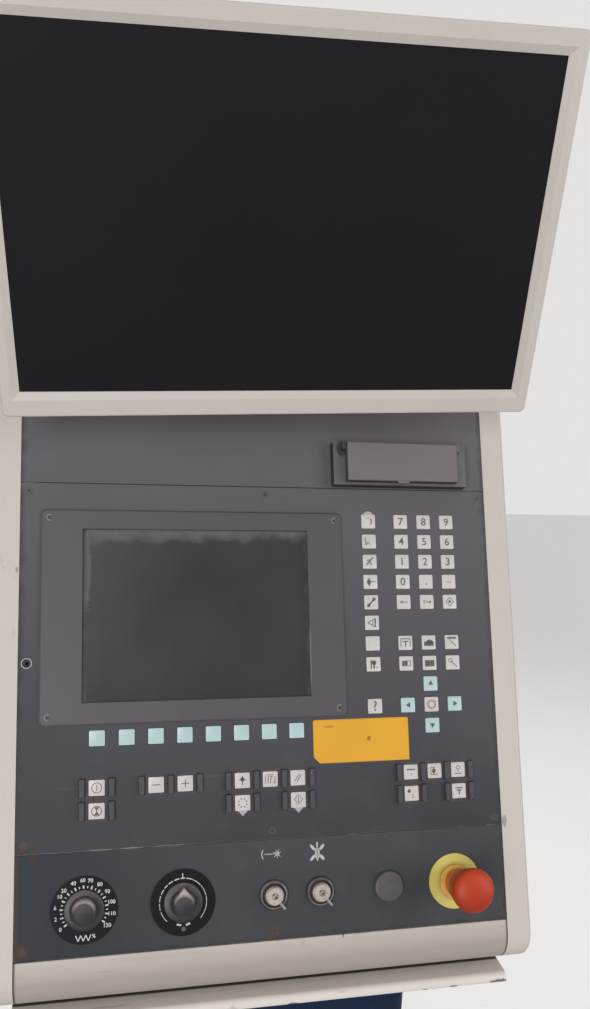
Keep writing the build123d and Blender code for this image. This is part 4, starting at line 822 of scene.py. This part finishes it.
film, film_thick = bmesh.new(), 0.3
for name in ("hold_key", "start_key"):
    x, v, marks = moving_keys[name]
    put(film, dot(x, v - 8.2, 7.2, 3, 180, 0.62, film_thick))
put(film, dot(function_column, rows[0] + 6.9, 5.0, 32, 0, 0.8, film_thick))
film_white = finish(
    "film_white", (184, 178, 184), 0.5,
    [layer(blotches, (150, 144, 150), 0.7, 0.6, size=0.006)],
    bump=0.05, on=on_face,
)
film_scraps = piece("film_scraps", film, face_to_frame, film_white)
for part, slot_name in (
    (key_gaskets, "black_plastic"), (yellow_label, "yellow_plastic"), (film_scraps, "key_plastic"),
):
    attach(part, "console")

# Symbols: the icons over the turning switches and a pale ring round an empty screw hole, screen-printed
# in one ink, and in the same finish a painted highlight: pale arcs on the screen frame's screw rims
pale_ink_and_highlight = finish(
    "pale_ink_and_highlight", (196, 194, 192), 0.55,
    [layer(blotches, (140, 138, 138), 0.7, 0.6, size=0.004, low=0.5, high=0.8)],
    bump=0.03, on=on_face,
)
star_x, star_v, ray = 4.3, 80, 4.2
flower_x, flower_v = 44.4, 78.6
frame_screws, frame_front = [(x, v) for x in (-213.5, 71.5) for v in (218.9, 411.8)], 2.98
printed_and_highlights = bmesh.new()
print_on(
    printed_and_highlights,
    [
        (ring, -2.4, star_v, 8.6, 0.9, 148, 64, 12), (stroke, -8.4, star_v, 2, star_v, 0.6),
        (dot, star_x, star_v, 2.1), (dot, flower_x, 77.6, 2.4, 24, 0, 2.5),
        (stroke, flower_x, 70.6, flower_x, 88.6, 1.5), (ring, -233.5, 270.5, 4.6, 0.7),
    ]
    + [
        (stroke, star_x, star_v, star_x + ray * math.cos(turn), star_v + ray * math.sin(turn), 0.6)
        for turn in (0.4, 1.2, 2.0, 2.8, 3.9, 4.7, 5.5)
    ]
    + [
        (dot, flower_x + side * 4.7, flower_v + up * 4.9, 1.5, 24, -side * up * 40, 2.3)
        for side in (-1, 1)
        for up in (-1, 1)
    ],
    ink=0,
)
# painted highlight: pale arcs on the left of the screen frame's screw rims
for x, v in frame_screws:
    put(printed_and_highlights, ring(x, v, 2.9, 0.3, 60, 230), (0, 0, frame_front))
printed_symbols_and_screw_highlights = piece("printed_symbols_and_screw_highlights", printed_and_highlights, face_to_frame, pale_ink_and_highlight)
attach(printed_symbols_and_screw_highlights, "console")

# Drive bay: a moulded frame with a sleeve through the top plate, a dusty grey flap on two stub pins,
# and behind it the black front of the disk drive. Dust lies on the flap, and painted shade darkens the
# strip under it and the sides of the frame and flap.
bay_shadow = (38, 35, 37)
bay_grey = finish(
    "bay_grey", (95, 93, 93), 0.5,
    [
        layer(blotches, (104, 101, 102), 0.6, 0.55, size=0.06, low=0.35),
        layer(scratches, (118, 115, 114), 0.2, 0.6, size=0.02, stretch=(0.5, 5, 1), low=0.7, high=0.75),
        # painted shade: the frame's left and bottom sides, and a dark patch over the flap's left hinge ear
        layer(rising, bay_shadow, 0.9, 0.8, along=(1, 0, 0), start=0.0711, end=0.0707),
        layer(rising, bay_shadow, 0.9, 0.8, start=0.4491, end=0.4487),
        layer(
            spot, bay_shadow, 0.75, 0.8, centre=(0.0795, 0.487, 0), radius=0.0095, ragged=0.4,
            squash=(1.6, 1, 0),
        ),
    ],
    grain=0.0011, on=on_face,
)
flap_grey = finish(
    "flap_grey", (112, 106, 108), 0.55,
    [
        layer(blotches, (122, 114, 118), 0.6, 0.6, size=0.08, low=0.35),
        layer(blotches, (104, 100, 101), 0.3, 0.65, size=0.01, low=0.6),
        # painted shade: a strip under the flap and along its left side; the spot keeps the lip's grey
        layer(rising, bay_shadow, 0.9, 0.8, start=0.4519, end=0.4515),
        layer(spot, (112, 106, 108), 1.0, 0.55, centre=(0.144, 0.4505, 0.022), radius=0.0085, ragged=0),
        layer(rising, (60, 57, 59), 0.9, 0.8, along=(1, 0, 0), start=0.084, end=0.0836),
    ],
    grain=0.0011, on=on_face,
)
dress(bay_grey, "drive_frame")
dress(flap_grey, "drive_flap")
dress(black_shell, "disk_drive")

# Dials: two black anodised scale plates with silver printing, and on each a satin black knob with a
# wide skirt, one with a raised nose. The figures show a percentage, and the arc a rising flow.
scale_black = finish(
    "scale_black", (11, 12, 17), 0.42,
    [
        layer(blotches, (19, 20, 26), 0.6, 0.5, size=0.02, high=0.8),
        layer(blotches, (62, 60, 64), 0.2, 0.7, size=0.003, low=0.68, high=0.78),
    ],
    shine=0.15, on=on_face,
)
scale_ink = finish(
    "scale_ink", (214, 212, 208), 0.45,
    [layer(blotches, (150, 148, 146), 0.7, 0.6, size=0.002, low=0.5)],
    bump=0.02, on=on_face,
)
knob_black = finish(
    "knob_black", (54, 51, 54), 0.36,
    [
        layer(blotches, (64, 60, 63), 0.6, 0.45, size=0.012),
        # painted shade on the knob's lower side, painted light on its upper side and a highlight on its
        # shoulder
        layer(rising, (36, 34, 36), 0.7, 0.45, start=0.034, end=0.022),
        layer(rising, (104, 97, 94), 0.6, 0.5, start=0.045, end=0.06),
        layer(rising, (196, 184, 176), 0.75, 0.4, along=(0, 1, 1.2), start=0.0635, end=0.0705),
        layer(rising, (34, 35, 38), 0.9, 0.55, along=(0, 0, 1), start=0.0176, end=0.0186),
        layer(blotches, (92, 86, 85), 0.2, 0.7, size=0.003, low=0.68, high=0.8),
    ],
    shine=0.4, on=on_face,
)
dress(scale_black, "dial_discs")
control_row, override_x, airflow_x, dial_front = 41.5, -178.7, -87.6, 1.47
override_dial, airflow_dial = (override_x, control_row, dial_front), (airflow_x, control_row, dial_front)
first_tick, last_tick, ticks = -126.6, 123, 25
override_scale = {
    "0": -126.6, "2": -104, "6": -82, "10": -58.6, "20": -44.7, "40": -21.8, "60": -3, "70": 12,
    "80": 32.5, "90": 54, "100": 77, "110": 101, "120": 126,
}


def pointing(turn):
    """How far to the side and how far up a hand points that has turned clockwise from the top."""
    return math.sin(math.radians(turn)), math.cos(math.radians(turn))


scales = bmesh.new()
for number, turn in override_scale.items():
    side, up = pointing(turn)
    reach = 26.8 - 0.5 * len(number) * abs(side)
    put(scales, figures(number, reach * side, reach * up, 4.9), override_dial)
for i in range(ticks):
    side, up = pointing(first_tick + i * (last_tick - first_tick) / (ticks - 1))
    inner, outer, width = (19.3, 22.3, 1.4) if i % 2 == 0 else (19.6, 21.6, 0.9)
    put(scales, stroke(inner * side, inner * up, outer * side, outer * up, width), override_dial)
for i in range(6):
    low, high = (-27.4, -22.0) if i % 2 else (-22.0, -27.4)
    put(scales, stroke(-7.6 + i * 2.3, low, -5.3 + i * 2.3, high, 0.8), override_dial)
put(scales, figures("%", 8.8, -23.6, 4.6), override_dial)
for start, sweep, width in (
    (-43, 55, 0.55), (14, 26, 0.6), (42, 24, 0.7), (68, 14, 0.95), (85, 10, 1.0), (99, 12, 1.05),
    (115, 12, 1.1), (131, 10, 1.0), (145, 12, 0.9), (161, 14, 0.8), (179, 16, 0.7), (199, 28, 0.6),
):
    put(scales, ring(airflow_x, control_row, 22.2, width, start, sweep, 14), (0, 0, dial_front))
print_on(
    scales,
    [
        (stroke, 0, 22.6, -0.4, 26.6, 0.9), (stroke, -6.2, -19.6, -2.0, -20.6, 1.6),
        (stroke, 2.4, -20.8, 6.4, -19.4, 1.6),
    ],
    airflow_dial,
    ink=0,
)
put(scales, dot(0.2, -24.2, 2.1), airflow_dial, ink=1)
dial_scales = piece("dial_scales", scales, face_to_frame, scale_ink, legend_ink)
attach(dial_scales, "console")


def lathe(profile, sides=72):
    """A turned shape on its own axis, from its half section."""
    shape = bmesh.new()
    points = [shape.verts.new((radius, 0, w)) for radius, w in profile]
    for a, b in zip(points, points[1:] + points[:1]):
        if a.co.x or b.co.x:
            shape.edges.new((a, b))
    bmesh.ops.spin(
        shape, geom=shape.verts[:] + shape.edges[:], cent=(0, 0, 0), axis=(0, 0, 1), angle=math.tau,
        steps=sides, use_merge=True,
    )
    bmesh.ops.remove_doubles(shape, verts=shape.verts, dist=0.001)
    return shape


knob_foot, skirt_radius = 1.9, 18.5
for name, x, top_radius in (("override_knob", override_x, 12.2), ("airflow_knob", airflow_x, 11.2)):
    knob = bmesh.new()
    turned_knob = lathe(
        [
            (0, 18.9), (top_radius - 4.6, 18.9), (top_radius - 3.0, 18.3), (top_radius - 1.4, 17.0),
            (top_radius - 0.4, 15.2), (top_radius, 13.0), (top_radius + 0.9, 5.4), (top_radius + 1.4, 4.9),
            (17.0, 4.6), (18.0, 4.1), (skirt_radius, 3.2), (skirt_radius, knob_foot), (5.7, knob_foot),
            (5.7, 3.9), (3, 3.9), (3, -6), (0, -6),
        ]
    )
    put(knob, turned_knob, (x, control_row, 0))
    if name == "airflow_knob":
        nose = dot(0, 9.0, 10.4, 3, 0, 0.64, 12.4)
        soften(nose, front_edges(nose), 1.6, 2)
        put(knob, nose, (x, control_row, 4.4))
    made_knob = piece("turned_" + name, knob, face_to_frame, knob_black)
    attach(made_knob, name)
    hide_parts(name)

# Turning switches: turned barrels with a dark chromed rim, and in each a nickel-plated plug with a
# slot and an index tang. The plating is dull with fingerprints.
dark_chrome = finish(
    "dark_chrome", (122, 118, 119), 0.3,
    [
        layer(blotches, (72, 68, 70), 0.8, 0.45, size=0.01),
        layer(rising, (62, 59, 60), 0.85, 0.6, along=(0, 0, 1), start=0.0016, end=0.001),
    ],
    metallic=0.8, grain=0.0006, bump=0.08, on=on_face,
)
worn_nickel = finish(
    "worn_nickel", (196, 184, 178), 0.32,
    [
        layer(blotches, (150, 138, 132), 0.7, 0.5, size=0.006, high=0.7),
        layer(scratches, (216, 208, 204), 0.4, 0.35, size=0.004, stretch=(1, 6, 1), low=0.6, high=0.7),
        layer(rising, (118, 110, 106), 0.6, 0.5, along=(0, 0, 1), start=0.0078, end=0.0066),
    ],
    metallic=0.8, grain=0.0006, bump=0.08, on=on_face,
)
plug_turn = Matrix.Rotation(math.radians(-52), 4, "Z")
rims = bmesh.new()
for name, x in (("left_switch_key", 0.0), ("right_switch_key", 46.5)):
    rim = lathe(
        [
            (6.7, 1.0), (10.6, 1.0), (10.8, 2.4), (11.6, 3.3), (12.6, 3.4), (13.6, 2.8), (14.3, 1.6),
            (14.5, 0), (9.5, 0), (9.5, -12), (0, -12), (0, -8.5), (6.7, -8.5),
        ]
    )
    put(rims, rim, (x, control_row, 0))
    plug = bmesh.new()
    turned_plug = lathe(
        [
            (0, 7.4), (2.3, 7.4), (3.3, 9.0), (7.8, 9.0), (8.3, 8.5), (8.3, 6.6), (8.9, 6.5), (9.25, 6.1),
            (9.25, 1.3), (6.5, 1.3), (6.5, -8.2), (0, -8.2),
        ]
    )
    put(plug, turned_plug)
    put(plug, block(6, -1.2, 4.2, 16.4, 1.2, 6.4))
    put(plug, block(-2.2, -0.9, 7.37, 2.2, 0.9, 7.46), ink=1)
    put(plug, dot(-0.6, 0, 0.8, 16, 0, 1, 0.6), (0, 0, 7.4))
    plug_place = Matrix.Translation((x, control_row, 0)) @ plug_turn
    bmesh.ops.transform(plug, matrix=plug_place, verts=plug.verts)
    made_plug = piece(name.replace("key", "plug"), plug, face_to_frame, worn_nickel, black_shell)
    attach(made_plug, name)
    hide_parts(name)
switch_rims = piece("switch_rims", rims, face_to_frame, dark_chrome)
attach(switch_rims, "console")
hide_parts("switch_barrels")

# Blanking cap: a moulded purplish grey plug, pressed into the spare hole of the switch plate. Its
# face is rubbed paler in one streak.
cap_grey = finish(
    "cap_grey", (77, 74, 81), 0.42,
    [
        layer(blotches, (86, 81, 88), 0.7, 0.5, size=0.012),
        layer(
            spot, (112, 98, 108), 0.5, 0.6, centre=(0.1175, 0.0405, 0.005), radius=0.0055, ragged=0.8,
            squash=(1, 9, 0.2),
        ),
    ],
    coat=0.1, on=on_face,
)
dress(cap_grey, "blanking_cap")

# Stop button: a turned mushroom head of red plastic on an orange collar, over a yellow disc. The
# disc has faded towards green. The head's deeper red below and the darker ring on the disc round the
# collar are painted shade, and the stem's lighter red is painted light.
stop_x = 186.0
disc_yellow = finish(
    "disc_yellow", (206, 194, 100), 0.46,
    [
        layer(blotches, (212, 196, 114), 0.7, 0.5, size=0.02, low=0.35),
        layer(blotches, (160, 146, 84), 0.3, 0.7, size=0.004, low=0.64, high=0.74),
        # painted shade: a darker ring on the disc round the collar
        layer(spot, (120, 104, 56), 0.6, 0.7, centre=(0.186, 0.0415, 0), radius=0.0205, ragged=0.15),
    ],
    on=on_face,
)
collar_orange = finish(
    "collar_orange", (224, 176, 88), 0.4,
    [layer(blotches, (204, 150, 70), 0.7, 0.5, size=0.008)],
    on=on_face,
)
head_red = finish(
    "head_red", (190, 58, 22), 0.44,
    [
        layer(blotches, (192, 68, 32), 0.7, 0.48, size=0.015, high=0.8),
        layer(blotches, (150, 48, 28), 0.25, 0.6, size=0.003, low=0.68, high=0.77),
        # painted shade: the head darkens towards its lower side
        layer(rising, (146, 30, 8), 0.7, 0.48, start=0.05, end=0.022),
    ],
    bump=0.05, shine=0.35, on=on_face,
)
# painted light: a lighter copy of the head's red for the stem, which sits in the head's shadow
neck_red_painted_light = finish(
    "neck_red_painted_light", (232, 92, 44), 0.4,
    [layer(blotches, (238, 112, 62), 0.6, 0.45, size=0.01, high=0.8)],
    bump=0.05, on=on_face,
)


def turned(name, profile, material):
    """A turned piece on the stop button's axis."""
    shape = lathe(profile)
    bmesh.ops.translate(shape, vec=(stop_x, control_row, 0), verts=shape.verts)
    return piece(name, shape, face_to_frame, material)


stop_head_turned = turned(
    "stop_head_turned",
    [
        (0, 61), (4, 60.9), (8, 60.5), (12, 59.7), (15.4, 58.5), (18, 57), (19.8, 55), (20.8, 53.2), (21, 52),
        (20.8, 49.4), (20.4, 47.3), (20, 46), (17.3, 31.4), (17, 31), (8.1, 31), (8.1, 44.2), (0, 44.2),
    ],
    head_red,
)
collar_turned = turned(
    "collar_turned",
    [(8.1, -12), (11, -12), (11, 1.5), (16.5, 1.5), (16.5, 5.5), (15.5, 6.5), (12, 6.5), (12, 24), (8.1, 24)],
    collar_orange,
)
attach(stop_head_turned, "stop_head")
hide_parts("stop_head")
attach(collar_turned, "console")
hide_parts("stop_collar")
dress(disc_yellow, "stop_disc")
dress(neck_red_painted_light, "stop_stem")

# Screws: countersunk machine screws in the plates and the screen frame, painted over with them and
# scuffed, each with a small dirty recess for its key
screw_grey = finish(
    "screw_grey", (90, 87, 91), 0.45,
    [
        layer(blotches, (74, 71, 74), 0.6, 0.6, size=0.003, low=0.45, high=0.7),
        layer(rising, (66, 67, 71), 0.9, 0.55, start=0.3, end=0.05),
        *rust_spots[:4],
    ],
    metallic=0.2, shine=0.35, on=on_face,
)
dress(screw_grey, "panel_screws")
screw_column, recess_depth = 233.5, 0.06
plate_screws = [(x, v) for v in (8.0, 102.0, 439.0) for x in (-screw_column, 0, screw_column)]
plate_screws += [(-screw_column, 547.0), (screw_column, 547.0)]
recesses = bmesh.new()
for places, front, radius in ((plate_screws, -0.02, 1.5), (frame_screws, frame_front, 1.2)):
    for x, v in places:
        put(recesses, dot(x, v, radius, 6, 0, 1, recess_depth), (0, 0, front))
screw_recesses = piece("screw_recesses", recesses, face_to_frame, black_shell)
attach(screw_recesses, "console")

# Rear door: a folded tray with pressed louvres, painted as the housing, on two steel hinges, with
# two zinc quarter-turn latches.
dress(cream_coat, "rear_door")
dress(zinc_plate, "door_hinges", "door_latch_upper", "door_latch_lower")

# Monitor: an off-white moulded bezel round a matt black panel with specks of dust, its back cover,
# and the painted bracket and post that carry it over the roof
monitor_foot = Vector((0, -0.0548, 1.4801))
lean, askew = math.radians(18.2), math.radians(2.9)
monitor_out = Vector((0, -math.cos(lean), -math.sin(lean)))
monitor_side = Vector((math.cos(askew), -math.sin(askew) * math.sin(lean), math.sin(askew) * math.cos(lean)))
monitor_axes = Matrix((monitor_side, monitor_out.cross(monitor_side), monitor_out)).transposed()
on_monitor = (monitor_foot, monitor_axes.to_euler())
monitor_white = finish(
    "monitor_white", (204, 197, 190), 0.46,
    [
        layer(blotches, (196, 186, 179), 0.6, 0.5, size=0.12, low=0.35),
        layer(blotches, (150, 140, 128), 0.3, 0.7, size=0.004, low=0.68),
    ],
    grain=0.0008, on=on_monitor,
)
panel_black = finish(
    "panel_black", (19, 18, 22), 0.55,
    [
        layer(blotches, (24, 23, 28), 0.7, 0.6, size=0.2, low=0.35, high=0.8),
        layer(blotches, (110, 108, 114), 0.5, 0.7, size=0.0022, low=0.79, high=0.81),
    ],
    bump=0.02, shine=0.15, on=on_monitor,
)
post_grey = finish(
    "post_grey", (96, 96, 98), 0.45,
    [
        layer(blotches, (108, 106, 106), 0.6, 0.5, size=0.05),
        layer(scratches, (140, 138, 136), 0.4, 0.6, size=0.02, stretch=(5, 5, 0.6), low=0.66, high=0.72),
    ],
)
dress(monitor_white, "monitor_bezel", "monitor_back")
dress(panel_black, "monitor_screen")
dress(post_grey, "monitor_bracket", "monitor_post")
